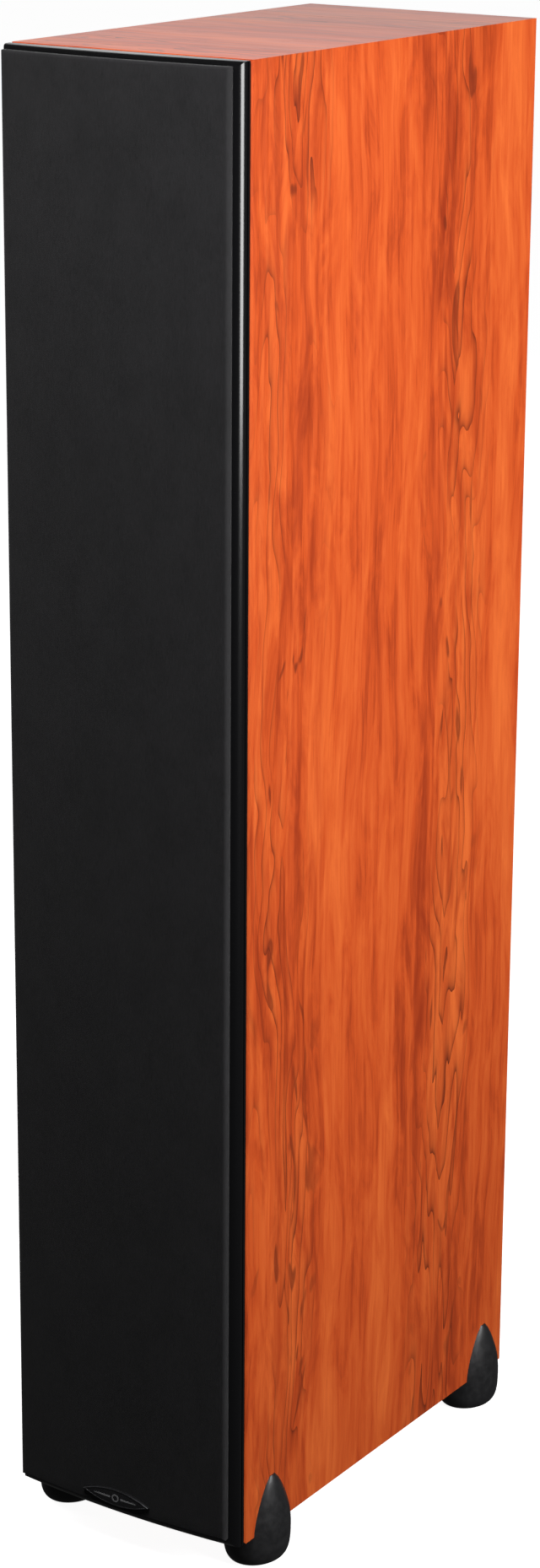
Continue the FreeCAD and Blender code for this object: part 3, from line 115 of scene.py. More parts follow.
class Surface:
    """A material under construction: a Principled shader and short ways to feed it."""

    def __init__(self, name: str) -> None:
        """Starts a material with one Principled shader.

        Args:
            name: the material's name.
        """
        self.material = bpy.data.materials.new(name)
        self.material.use_nodes = True
        self.tree = self.material.node_tree
        self.shader = self.tree.nodes["Principled BSDF"]
        self.place = self.add("ShaderNodeTexCoord").outputs["Object"]

    def add(self, kind: str, **settings: object) -> bpy.types.Node:
        """Adds a node and sets its properties."""
        node = self.tree.nodes.new(kind)
        for name, value in settings.items():
            setattr(node, name, value)
        return node

    def feed(self, socket: Socket, value: object) -> None:
        """Links a socket to another, or sets it when the value is a plain number or tuple."""
        if isinstance(value, bpy.types.NodeSocket):
            self.tree.links.new(value, socket)
        else:
            socket.default_value = value

    def fix(self, **values: float) -> None:
        """Sets the shader's own sockets; an underscore in a name stands for a space."""
        for name, value in values.items():
            self.shader.inputs[name.replace("_", " ")].default_value = value

    def math(self, operation: str, first: object, second: object = 0.0, third: object = 0.0) -> Socket:
        """Works out one number from up to three.

        Args:
            operation: the Math node's operation.
            first: a socket or number.
            second: a socket or number.
            third: a socket or number.

        Returns:
            The result's socket.
        """
        node = self.add("ShaderNodeMath", operation=operation)
        for socket, value in zip(node.inputs, (first, second, third)):
            self.feed(socket, value)
        return node.outputs[0]

    def clouds(self, pattern: Pattern, start: object = None) -> Socket:
        """Lays a soft random pattern.

        Args:
            pattern: the pattern.
            start: the position it is laid on; the object's own position when left out.

        Returns:
            The pattern, about 0 to 1 with its middle at a half.
        """
        stretch = self.add("ShaderNodeVectorMath", operation="MULTIPLY_ADD")
        self.feed(stretch.inputs[0], start or self.place)
        stretch.inputs[1].default_value = pattern.scale
        stretch.inputs[2].default_value = pattern.offset
        node = self.add("ShaderNodeTexNoise", noise_dimensions="3D")
        self.feed(node.inputs["Vector"], stretch.outputs[0])
        node.inputs["Scale"].default_value = 1.0
        node.inputs["Detail"].default_value = pattern.detail
        node.inputs["Roughness"].default_value = pattern.rough
        node.inputs["Distortion"].default_value = pattern.warp
        return node.outputs[0]

    def ramp(self, value: Socket, stops: Sequence[tuple[float, Colour]]) -> Socket:
        """Turns a number into a colour.

        Args:
            value: the number.
            stops: places from 0 to 1 and the colour at each.

        Returns:
            The colour.
        """
        node = self.add("ShaderNodeValToRGB")
        self.feed(node.inputs[0], value)
        band = node.color_ramp
        while len(band.elements) < len(stops):
            band.elements.new(0.5)
        for element, (place, colour) in zip(band.elements, stops):
            element.position = place
            element.color = (*colour, 1.0)
        return node.outputs[0]

    def span(self, value: Socket, low: float, high: float, out_low: float = 0.0,
             out_high: float = 1.0) -> Socket:
        """Maps a number from one range to another and keeps it inside.

        Args:
            value: the number.
            low: where the first range starts.
            high: where the first range ends.
            out_low: what low becomes.
            out_high: what high becomes.

        Returns:
            The mapped number.
        """
        node = self.add("ShaderNodeMapRange", interpolation_type="SMOOTHSTEP")
        for socket, number in zip(node.inputs, (value, low, high, out_low, out_high)):
            self.feed(socket, number)
        return node.outputs[0]

    def blend(self, share: object, first: object, second: object) -> Socket:
        """Mixes two colours.

        Args:
            share: how much of the second colour there is.
            first: a colour.
            second: a colour.

        Returns:
            The mixed colour.
        """
        node = self.add("ShaderNodeMix", data_type="RGBA")
        self.feed(node.inputs[0], share)
        for socket, value in ((node.inputs[6], first), (node.inputs[7], second)):
            self.feed(socket, value if isinstance(value, bpy.types.NodeSocket) else (*value, 1.0))
        return node.outputs[2]

    def relief(self, height: Socket, depth: float, strength: float = 1.0) -> Socket:
        """Bumps the surface.

        Args:
            height: the relief, 0 to 1.
            depth: how tall a relief of 1 is, in metres.
            strength: how much of it shows.

        Returns:
            The bent normal.
        """
        node = self.add("ShaderNodeBump")
        node.inputs["Strength"].default_value = strength
        node.inputs["Distance"].default_value = depth
        self.feed(node.inputs["Height"], height)
        return node.outputs[0]

    def finish(self, colour: Socket, rough: object, normal: object = None) -> bpy.types.Material:
        """Joins the colour, roughness and normal to the shader.

        Args:
            colour: the base colour.
            rough: the roughness.
            normal: the normal, where there is relief.

        Returns:
            The finished material.
        """
        self.feed(self.shader.inputs["Base Color"], colour)
        self.feed(self.shader.inputs["Roughness"], rough)
        if normal is not None:
            self.feed(self.shader.inputs["Normal"], normal)
        return self.material


# ---------------------------------------------------------------- finishes


@dataclass(frozen=True)
class Cherry:
    """Cherry laminate: broad bands, fine streaks and zones of cathedral figure with small knots."""

    name: str
    across: Axis
    along: Axis
    seed: float = 0.0
    pale: Colour = (0.84, 0.170, 0.034)
    middle: Colour = (0.62, 0.085, 0.015)
    dark: Colour = (0.33, 0.034, 0.007)
    line: Colour = (0.13, 0.016, 0.005)
    rough: float = 0.33
    rough_less: float = 0.04
    rough_more: float = 0.06
    sway: Pattern = Pattern((6.0, 2.2, 1.0), 3.0, 0.55)
    sway_reach: float = 0.055
    bands: Pattern = Pattern((19.0, 1.7, 1.0), 2.5, 0.5, 0.25)
    bands_share: float = 0.58
    mottle: Pattern = Pattern((78.0, 13.0, 1.0), 5.0, 0.66, 0.6, (0.0, 0.0, 4.4))
    mottle_share: float = 0.56
    streaks: Pattern = Pattern((260.0, 4.4, 1.0), 5.0, 0.64)
    streaks_share: float = 0.32
    pores: Pattern = Pattern((1200.0, 26.0, 1.0), 2.0, 0.6)
    pores_share: float = 0.15
    tone_range: tuple[float, float] = (0.54, 1.08)
    middle_place: float = 0.36
    zone_pitch: float = 0.19
    zone_start: float = -0.085
    zone_range: tuple[float, float] = (-0.15, 0.95)
    zone_shade: float = 0.32
    shade_range: tuple[float, float] = (0.62, 0.36)
    rings: float = 2.3
    arch: float = 2.4
    lean: float = -2.4
    waves: Pattern = Pattern((18.0, 4.0, 1.0), 2.6, 0.55, 0.5, (3.1, 0.0, 0.0))
    waves_reach: float = 4.2
    edge_power: float = 10.0
    edge_share: float = 0.78
    body_power: float = 2.0
    body_share: float = 0.20
    patches: Pattern = Pattern((16.0, 4.0, 1.0), 2.0, 0.5, 0.3, (0.0, 7.7, 0.0))
    patch_range: tuple[float, float] = (0.36, 0.56)
    knots: Pattern = Pattern((46.0, 11.0, 1.0), 1.5, 0.5, 1.6, (0.0, 0.0, 9.4))
    knot_rise: tuple[float, float] = (0.66, 0.72)
    knot_fall: tuple[float, float] = (0.86, 0.70)
    knot_share: float = 0.7
    relief_depth: float = 0.00005
    relief_share: float = 0.3

    def make(self) -> bpy.types.Material:
        """Builds the laminate."""
        surface = Surface(self.name)
        split = surface.add("ShaderNodeSeparateXYZ")
        surface.feed(split.inputs[0], surface.place)
        across, along = split.outputs[self.across.value], split.outputs[self.along.value]
        sway = surface.clouds(self.sway, self.lay(surface, across, along))
        across = surface.math("MULTIPLY_ADD", sway, self.sway_reach, across)
        grain = self.lay(surface, across, along)
        bands, mottle, streaks, pores = (surface.clouds(pattern, grain) for pattern in
                                         (self.bands, self.mottle, self.streaks, self.pores))
        tone = surface.math("MULTIPLY", mottle, self.mottle_share)
        tone = surface.math("MULTIPLY_ADD", bands, self.bands_share, tone)
        tone = surface.math("MULTIPLY_ADD", streaks, self.streaks_share, tone)
        tone = surface.math("MULTIPLY_ADD", pores, self.pores_share, tone)
        colour = surface.ramp(surface.span(tone, *self.tone_range),
                              ((0.0, self.dark), (self.middle_place, self.middle), (1.0, self.pale)))
        zone = self.zone(surface, across)
        shade = surface.math("MULTIPLY", surface.span(mottle, *self.shade_range),
                             surface.math("MULTIPLY", zone, self.zone_shade))
        colour = surface.blend(shade, colour, self.dark)
        colour = surface.blend(self.figure(surface, across, along, grain, zone), colour, self.line)
        height = surface.math("MULTIPLY_ADD", pores, 0.5, streaks)
        normal = surface.relief(height, self.relief_depth, self.relief_share)
        surface.fix(Specular_IOR_Level=0.5)
        rough = surface.span(streaks, 0.2, 0.8, self.rough - self.rough_less, self.rough + self.rough_more)
        return surface.finish(colour, rough, normal)

    def lay(self, surface: Surface, across: Socket, along: Socket) -> Socket:
        """A position with the grain along its second axis.

        Args:
            surface: the material being built.
            across: the place across the grain.
            along: the place along the grain.

        Returns:
            The position.
        """
        node = surface.add("ShaderNodeCombineXYZ")
        surface.feed(node.inputs[0], across)
        surface.feed(node.inputs[1], along)
        node.inputs[2].default_value = self.seed
        return node.outputs[0]

    def zone(self, surface: Surface, across: Socket) -> Socket:
        """How near a place is to the middle of a zone of cathedral figure, 0 to 1."""
        turn = surface.math("MULTIPLY_ADD", across, 2 * math.pi / self.zone_pitch,
                            -2 * math.pi * self.zone_start / self.zone_pitch)
        return surface.span(surface.math("COSINE", turn), *self.zone_range)

    def figure(self, surface: Surface, across: Socket, along: Socket, grain: Socket, zone: Socket) -> Socket:
        """How dark the figure is: growth rings with one sharp edge, and knots.

        Args:
            surface: the material being built.
            across: the place across the grain.
            along: the place along the grain.
            grain: both together, as a position.
            zone: how near the place is to a zone's middle.

        Returns:
            The darkening, 0 to about 0.6.
        """
        turn = surface.math("MULTIPLY_ADD", across, math.pi / self.zone_pitch,
                            -math.pi * self.zone_start / self.zone_pitch)
        arch = surface.math("MULTIPLY", surface.math("ABSOLUTE", surface.math("SINE", turn)), self.arch)
        height = surface.math("MULTIPLY_ADD", along, self.lean, arch)
        height = surface.math("MULTIPLY_ADD", surface.clouds(self.waves, grain), self.waves_reach, height)
        ring = surface.math("FRACT", surface.math("MULTIPLY", height, self.rings))
        body = surface.math("MULTIPLY", surface.math("POWER", ring, self.body_power), self.body_share)
        sharp = surface.math("POWER", ring, self.edge_power)
        edge = surface.math("MULTIPLY_ADD", sharp, self.edge_share, body)
        patch = surface.span(surface.clouds(self.patches, grain), *self.patch_range)
        lines = surface.math("MULTIPLY", surface.math("MULTIPLY", edge, patch), zone)
        knots = surface.clouds(self.knots, grain)
        heart = surface.math("MULTIPLY", surface.span(knots, *self.knot_rise),
                             surface.span(knots, *self.knot_fall))
        heart = surface.math("MULTIPLY", surface.math("MULTIPLY", heart, self.knot_share), zone)
        return surface.math("MAXIMUM", lines, heart)


@dataclass(frozen=True)
class BlackVinyl:
    """Black wrap with an embossed wood grain."""

    name: str
    base: Colour = (0.012, 0.012, 0.013)
    tick_gain: float = 1.9
    grain: Pattern = Pattern((420.0, 420.0, 9.0), 4.0, 0.6)
    ticks: Pattern = Pattern((900.0, 900.0, 26.0), 2.0, 0.6)

    def make(self) -> bpy.types.Material:
        """Builds the wrap."""
        surface = Surface(self.name)
        grain = surface.clouds(self.grain)
        ticks = surface.span(surface.clouds(self.ticks), 0.52, 0.68)
        colour = surface.blend(ticks, self.base, tuple(self.tick_gain * c for c in self.base))
        normal = surface.relief(surface.math("MULTIPLY_ADD", ticks, -0.6, grain), 0.00012, 0.6)
        surface.fix(Specular_IOR_Level=0.4)
        return surface.finish(colour, surface.span(grain, 0.3, 0.7, 0.42, 0.58), normal)


@dataclass(frozen=True)
class Gloss:
    """Deep gloss lacquer with a trace of orange peel and fine dust."""

    name: str
    base: Colour = (0.003, 0.003, 0.0035)
    rough: float = 0.20
    peel: Pattern = Pattern((260.0, 260.0, 190.0), 2.0)
    dust: Pattern = Pattern((2600.0, 2600.0, 2600.0), 1.0)
    dust_colour: Colour = (0.03, 0.03, 0.03)
    dust_share: float = 0.25
    dust_rough: float = 0.15

    def make(self) -> bpy.types.Material:
        """Builds the lacquer."""
        surface = Surface(self.name)
        peel = surface.clouds(self.peel)
        dust = surface.span(surface.clouds(self.dust), 0.72, 0.80)
        colour = surface.blend(surface.math("MULTIPLY", dust, self.dust_share), self.base, self.dust_colour)
        rough = surface.math("MULTIPLY_ADD", dust, self.dust_rough, self.rough)
        surface.fix(Specular_IOR_Level=0.5, Coat_Weight=0.35, Coat_Roughness=0.14)
        return surface.finish(colour, rough, surface.relief(peel, 0.00004, 0.25))


@dataclass(frozen=True)
class GrilleWeave:
    """Charcoal knitted grille cloth: fine crossed threads with a soft sheen, darker in the pits between
    threads as painted shade.
    """

    name: str
    thread: Colour = (0.027, 0.026, 0.028)
    # The dark colour is painted shade in the pits between threads, and also the dark end of the slubs' and
    # patches' random tone.
    pit_shade_and_dark_tone: Colour = (0.005, 0.005, 0.0055)
    pitch: float = 0.00075
    slubs: Pattern = Pattern((1500.0, 1500.0, 240.0), 3.0, 0.6)
    patches: Pattern = Pattern((60.0, 60.0, 38.0), 4.0, 0.6)

    def make(self) -> bpy.types.Material:
        """Builds the weave."""
        surface = Surface(self.name)
        split = surface.add("ShaderNodeSeparateXYZ")
        surface.feed(split.inputs[0], surface.place)
        turns = 2 * math.pi / self.pitch
        across = surface.math("SINE", surface.math("MULTIPLY", split.outputs[0], turns))
        up = surface.math("SINE", surface.math("MULTIPLY", split.outputs[2], turns))
        crossing = surface.math("MULTIPLY", across, up)
        slubs, patches = surface.clouds(self.slubs), surface.clouds(self.patches)
        height = surface.math("MULTIPLY_ADD", crossing, 0.35, surface.math("MULTIPLY", slubs, 0.9))
        shade = surface.math("MULTIPLY_ADD", patches, 0.5, height)
        # Painted shade: the colour falls toward the dark colour where the weave's relief dips between
        # threads; slubs and patches vary it at random too.
        colour = surface.ramp(surface.span(shade, 0.1, 1.3), ((0.0, self.pit_shade_and_dark_tone), (1.0, self.thread)))
        surface.fix(Sheen_Weight=0.12, Sheen_Roughness=0.45, Specular_IOR_Level=0.25)
        return surface.finish(colour, surface.span(slubs, 0.2, 0.8, 0.78, 0.95),
                              surface.relief(height, 0.00018, 0.6))


@dataclass(frozen=True)
class Speckled:
    """A moulded, painted, cast or rubber surface: a base colour, a second one in clouds, and relief."""

    name: str
    base: Colour
    second: Colour
    size: float = 0.004
    rough: tuple[float, float] = (0.4, 0.55)
    metal: float = 0.0
    depth: float = 0.00006
    relief: float = 0.4
    relief_size: float = 0.0006
    coat: float = 0.0

    def make(self) -> bpy.types.Material:
        """Builds the surface."""
        surface = Surface(self.name)
        coarse = surface.clouds(Pattern(3 * (1.0 / self.size,), 4.0, 0.6))
        fine = surface.clouds(Pattern(3 * (1.0 / self.relief_size,), 3.0, 0.55))
        share = surface.span(surface.math("MULTIPLY_ADD", fine, 0.4, coarse), 0.45, 0.95)
        colour = surface.blend(share, self.base, self.second)
        surface.fix(Metallic=self.metal, Coat_Weight=self.coat)
        return surface.finish(colour, surface.span(coarse, 0.3, 0.7, *self.rough),
                              surface.relief(fine, self.depth, self.relief))


@dataclass(frozen=True)
class Turned:
    """Plated metal turned on a lathe: fine rings round an axis along the depth."""

    name: str
    base: Colour
    second: Colour
    ring: float = 0.0003
    smears: Pattern = Pattern((140.0, 140.0, 140.0), 4.0, 0.6)
    rough: tuple[float, float] = (0.16, 0.30)

    def make(self) -> bpy.types.Material:
        """Builds the metal."""
        surface = Surface(self.name)
        rings = surface.clouds(Pattern((60.0, 1.0 / self.ring, 60.0), 3.0, 0.6))
        smears = surface.clouds(self.smears)
        colour = surface.blend(surface.span(smears, 0.3, 0.8), self.base, self.second)
        surface.fix(Metallic=1.0)
        return surface.finish(colour, surface.span(smears, 0.3, 0.7, *self.rough),
                              surface.relief(rings, 0.00003, 0.4))


@dataclass(frozen=True)
class Winding:
    """Enamelled copper wire in layers, darker in the grooves between turns as painted shade."""

    name: str
    base: Colour
    # The second colour is painted shade in the grooves between turns, and also the darker tone of worn
    # patches.
    groove_shade_and_wear: Colour
    wire: float = 0.0011
    axis: Axis = Axis.Z
    metal: float = 0.8
    rough: float = 0.28
    wear: Pattern = Pattern((400.0, 400.0, 400.0))

    def make(self) -> bpy.types.Material:
        """Builds the winding."""
        surface = Surface(self.name)
        split = surface.add("ShaderNodeSeparateXYZ")
        surface.feed(split.inputs[0], surface.place)
        place = surface.math("MULTIPLY", split.outputs[self.axis.value], math.pi / self.wire)
        turns = surface.math("ABSOLUTE", surface.math("SINE", place))
        wear = surface.clouds(self.wear)
        share = surface.math("MULTIPLY", turns, surface.span(wear, 0.1, 0.6, 0.6, 1.0))
        # Painted shade: the colour falls to the second colour where the relief dips between turns; the wear
        # clouds darken it in random patches too.
        colour = surface.blend(share, self.groove_shade_and_wear, self.base)
        surface.fix(Metallic=self.metal)
        return surface.finish(colour, surface.span(wear, 0.3, 0.7, self.rough, self.rough + 0.15),
                              surface.relief(turns, 0.0003, 0.8))


@dataclass(frozen=True)
class Fibres:
    """Loose or pressed fibres: wadding, silk or doped cloth."""

    name: str
    base: Colour
    second: Colour
    size: float = 0.0007
    depth: float = 0.0004
    sheen: float = 0.3
    rough: float = 0.9
    tufts: Pattern = Pattern((90.0, 90.0, 90.0), 4.0, 0.65)

    def make(self) -> bpy.types.Material:
        """Builds the fibres."""
        surface = Surface(self.name)
        strands = surface.clouds(Pattern((1 / self.size, 0.35 / self.size, 0.5 / self.size), 5.0, 0.7, 1.4))
        tufts = surface.clouds(self.tufts)
        shade = surface.math("MULTIPLY_ADD", strands, 0.6, tufts)
        colour = surface.blend(surface.span(shade, 0.5, 1.1), self.second, self.base)
        surface.fix(Sheen_Weight=self.sheen, Specular_IOR_Level=0.3)
        return surface.finish(colour, surface.span(tufts, 0.3, 0.7, self.rough - 0.1, self.rough),
                              surface.relief(shade, self.depth, 0.7))


class Palette:
    """Every finish in the speaker, each made once and kept by name."""

    def __init__(self) -> None:
        """Starts with nothing made."""
        self.made: dict[str, bpy.types.Material] = {}

    def get(self, finish: "Cherry | Speckled | Gloss | GrilleWeave | Turned | Winding | Fibres | BlackVinyl",
            ) -> bpy.types.Material:
        """Makes a finish the first time it is asked for.

        Args:
            finish: the finish.

        Returns:
            Its material.
        """
        if finish.name not in self.made:
            self.made[finish.name] = finish.make()
        return self.made[finish.name]


PALETTE = Palette()

SIDE_RIGHT = Cherry("cherry_side_right", Axis.Y, Axis.Z, 2.3)
SIDE_LEFT = Cherry("cherry_side_left", Axis.Y, Axis.Z, 11.9)
TOP_WRAP = Cherry("cherry_top", Axis.Y, Axis.X, 5.1, rough=0.30)
BLACK_WRAP = BlackVinyl("black_wrap")
RAW_BOARD = Speckled("raw_board", (0.30, 0.19, 0.10), (0.42, 0.29, 0.16), 0.0025, (0.75, 0.9),
                     depth=0.00015)
WADDING = Fibres("white_wadding", (0.80, 0.80, 0.77), (0.55, 0.55, 0.52), 0.0009, 0.0012)
GLOSS_BLACK = Gloss("gloss_black")
CLOTH = GrilleWeave("grille_weave")
GRILLE_PLASTIC = Speckled("grille_plastic", (0.010, 0.010, 0.011), (0.018, 0.018, 0.019), 0.006, (0.45, 0.6))
BADGE_FACE = Speckled("badge_face", (0.020, 0.020, 0.022), (0.034, 0.034, 0.037), 0.0008, (0.22, 0.34),
                      metal=0.35, coat=0.4, depth=0.00002)
BADGE_RIM = Speckled("badge_rim", (0.050, 0.050, 0.053), (0.085, 0.085, 0.09), 0.0015, (0.28, 0.4), metal=0.8,
                     depth=0.00002)
BADGE_INLAY = Speckled("badge_inlay", (0.62, 0.62, 0.64), (0.75, 0.75, 0.77), 0.001, (0.2, 0.3), metal=0.7,
                       depth=0.00001)
SOCKET_RUBBER = Speckled("socket_rubber", (0.012, 0.012, 0.012), (0.022, 0.022, 0.022), 0.003, (0.6, 0.8))
BASKET_PAINT = Speckled("basket_paint", (0.014, 0.014, 0.015), (0.024, 0.024, 0.025), 0.002, (0.36, 0.5),
                        depth=0.0001, relief_size=0.0009, coat=0.15)
SURROUND_RUBBER = Speckled("surround_rubber", (0.010, 0.010, 0.010), (0.018, 0.018, 0.018), 0.005,
                           (0.4, 0.55))
CONE_POLYMER = Speckled("cone_polymer", (0.045, 0.045, 0.050), (0.11, 0.11, 0.12), 0.0014, (0.26, 0.42),
                        depth=0.0001, relief_size=0.0011, coat=0.3)
SPIDER_CLOTH = Fibres("spider_cloth", (0.55, 0.34, 0.10), (0.36, 0.20, 0.05), 0.0006, 0.0002, 0.1, 0.8)
MOTOR_IRON = Speckled("motor_iron", (0.055, 0.055, 0.06), (0.10, 0.10, 0.105), 0.003, (0.4, 0.55), metal=0.6,
                      depth=0.0001)
SCREW_BLACK = Speckled("screw_black", (0.012, 0.012, 0.012), (0.03, 0.03, 0.03), 0.0012, (0.28, 0.42),
                       metal=0.5)
TWEETER_PLATE = Speckled("tweeter_plate", (0.011, 0.011, 0.012), (0.018, 0.018, 0.019), 0.004, (0.32, 0.44))
DOME_SILK = Fibres("dome_silk", (0.060, 0.060, 0.070), (0.025, 0.025, 0.030), 0.0004, 0.0001, 0.5, 0.6)
PORT_PLASTIC = Speckled("port_plastic", (0.010, 0.010, 0.011), (0.017, 0.017, 0.018), 0.005, (0.38, 0.5),
                        depth=0.00008)
CUP_PLASTIC = Speckled("cup_plastic", (0.013, 0.013, 0.014), (0.022, 0.022, 0.023), 0.003, (0.4, 0.52),
                       depth=0.0001)
GOLD = Turned("gold_plate", (0.83, 0.57, 0.22), (0.68, 0.43, 0.13))
NUT_RED = Speckled("nut_red", (0.42, 0.010, 0.012), (0.30, 0.006, 0.008), 0.004, (0.18, 0.3), coat=0.3)
NUT_BLACK = Speckled("nut_black", (0.010, 0.010, 0.011), (0.020, 0.020, 0.021), 0.004, (0.2, 0.32), coat=0.3)
CIRCUIT_BOARD = Speckled("circuit_board", (0.07, 0.12, 0.03), (0.11, 0.16, 0.05), 0.0015, (0.35, 0.5))
# The second colour is painted shade for the grooves between the wire's turns.
COPPER_WIRE = Winding("copper_wire", (0.62, 0.22, 0.09), (0.16, 0.05, 0.02))
FILM_WRAP = Speckled("film_wrap", (0.50, 0.33, 0.04), (0.60, 0.42, 0.07), 0.004, (0.2, 0.35), coat=0.3)
CEMENT = Speckled("cement", (0.62, 0.60, 0.55), (0.72, 0.71, 0.67), 0.0012, (0.75, 0.9), depth=0.0002)
LEAD_JACKET = Speckled("lead_jacket", (0.02, 0.02, 0.02), (0.03, 0.03, 0.03), 0.003, (0.45, 0.6))
FOOT_PLASTIC = Speckled("foot_plastic", (0.013, 0.013, 0.014), (0.020, 0.020, 0.021), 0.006, (0.34, 0.46),
                        depth=0.00005, relief_size=0.0005)
PAD_RUBBER = Speckled("pad_rubber", (0.022, 0.022, 0.022), (0.035, 0.035, 0.035), 0.002, (0.75, 0.9))
MARK_PAINT = Speckled("mark_paint", (0.68, 0.68, 0.66), (0.78, 0.78, 0.76), 0.001, (0.5, 0.6), depth=0.00001)


# ---------------------------------------------------------------- mesh building


def make_object(name: str, mesh: bmesh.types.BMesh, finish: object, smooth: bool = True) -> bpy.types.Object:
    """Turns a built mesh into a dressed object in the scene.

    Args:
        name: the piece's name.
        mesh: the built mesh, which is used up.
        finish: what it is dressed in.
        smooth: whether its faces are smooth shaded.

    Returns:
        The object.
    """
    bmesh.ops.recalc_face_normals(mesh, faces=mesh.faces)
    data = bpy.data.meshes.new(name)
    for face in mesh.faces:
        face.smooth = smooth
    mesh.to_mesh(data)
    mesh.free()
    made = bpy.data.objects.new(name, data)
    bpy.context.scene.collection.objects.link(made)
    data.materials.append(PALETTE.get(finish))
    return made


def bridge(mesh: bmesh.types.BMesh, first: Sequence[bmesh.types.BMVert],
           second: Sequence[bmesh.types.BMVert]) -> None:
    """Joins two closed loops of as many points with a band of faces."""
    count = len(first)
    for here in range(count):
        after = (here + 1) % count
        mesh.faces.new((first[here], first[after], second[after], second[here]))


def loop_of(mesh: bmesh.types.BMesh, points: Iterable[Point]) -> list[bmesh.types.BMVert]:
    """Adds points to the mesh and gives them in order."""
    return [mesh.verts.new(point) for point in points]


def dress(node: str, finish: object) -> None:
    """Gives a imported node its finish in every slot.

    Args:
        node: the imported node's name.
        finish: what it is dressed in.
    """
    made = frame["nodes"][node]
    material = PALETTE.get(finish)
    for place in made.material_slots:
        place.material = material
    LOG.info("dressed %s in %s", node, material.name)


def seat(piece: bpy.types.Object, body: str) -> None:
    """Makes a piece ride on a body."""
    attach(piece, body)
    LOG.info("made %s on %s", piece.name, body)


# ---------------------------------------------------------------- sub-assemblies


@dataclass
class CabinetShell:
    """The wrapped cabinet, its baffle and braces, and the wadding inside."""

    wadding_steps: tuple[int, int] = (26, 44)
    wadding_lump: float = 0.0035
    wadding_lumps_per_metre: float = 38.0
    wadding_edge: float = 0.024
    wadding_thin: float = 0.35
    wadding_crown: float = 0.55
    wadding_gap: float = 0.0004
    wadding_fill: float = 0.5

    def build(self) -> None:
        """Dresses the panels and makes the wadding."""
        dress("side_panel_right", SIDE_RIGHT)
        dress("side_panel_left", SIDE_LEFT)
        dress("top_panel", TOP_WRAP)
        dress("bottom_panel", TOP_WRAP)
        dress("back_panel", BLACK_WRAP)
        for node in ("inner_baffle", "brace_lower", "brace_upper"):
            dress(node, RAW_BOARD)
        self.make_wadding()

    def make_wadding(self) -> None:
        """A lofty batt of wadding behind the back panel, crowned and pinched at its edges."""
        low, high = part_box("damping_wadding")
        across, up = self.wadding_steps
        mesh = bmesh.new()
        layers = []
        for front in (True, False):
            layer = []
            for row in range(up + 1):
                for column in range(across + 1):
                    layer.append(mesh.verts.new(self.tuft(low, high, column / across, row / up, front)))
            layers.append(layer)
        stride = across + 1
        for row in range(up):
            for column in range(across):
                first = row * stride + column
                for layer in layers:
                    mesh.faces.new([layer[i] for i in (first, first + 1, first + 1 + stride, first + stride)])
        rim = ([column for column in range(across)]
               + [row * stride + across for row in range(up)]
               + [up * stride + column for column in range(across, 0, -1)]
               + [row * stride for row in range(up, 0, -1)])
        bridge(mesh, [layers[0][i] for i in rim], [layers[1][i] for i in rim])
        piece = make_object("wadding_batt", mesh, WADDING)
        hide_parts("damping_wadding")
        seat(piece, CABINET)

    def tuft(self, low: Vector, high: Vector, share: float, rise: float, front: bool) -> Point:
        """One point on the batt's front or back.

        Args:
            low: the batt's lowest corner.
            high: its highest corner.
            share: how far across it the point is.
            rise: how far up it the point is.
            front: whether it is on the loose face.

        Returns:
            The point.
        """
        x = low.x + share * (high.x - low.x)
        z = low.z + rise * (high.z - low.z)
        margin = min(share, 1 - share) * (high.x - low.x), min(rise, 1 - rise) * (high.z - low.z)
        inside = min(1.0, min(margin) / self.wadding_edge)
        crown = math.sin(inside * math.pi / 2)
        back = high.y - self.wadding_gap
        if not front:
            return x, back, z
        spot = Vector((x, 0.0, z)) * self.wadding_lumps_per_metre
        lump = noise.fractal(spot, 0.8, 2.0, 4) * self.wadding_lump
        thick = (self.wadding_thin + self.wadding_crown * crown) * (back - low.y) + lump
        return x, back - min(thick, back - low.y), z


@dataclass
class Fascia:
    """The bowed gloss moulding that frames the front."""

    def build(self) -> None:
        """Dresses the moulding and the grille's sockets in it."""
        dress("gloss_fascia", GLOSS_BLACK)
        dress("grille_sockets", SOCKET_RUBBER)


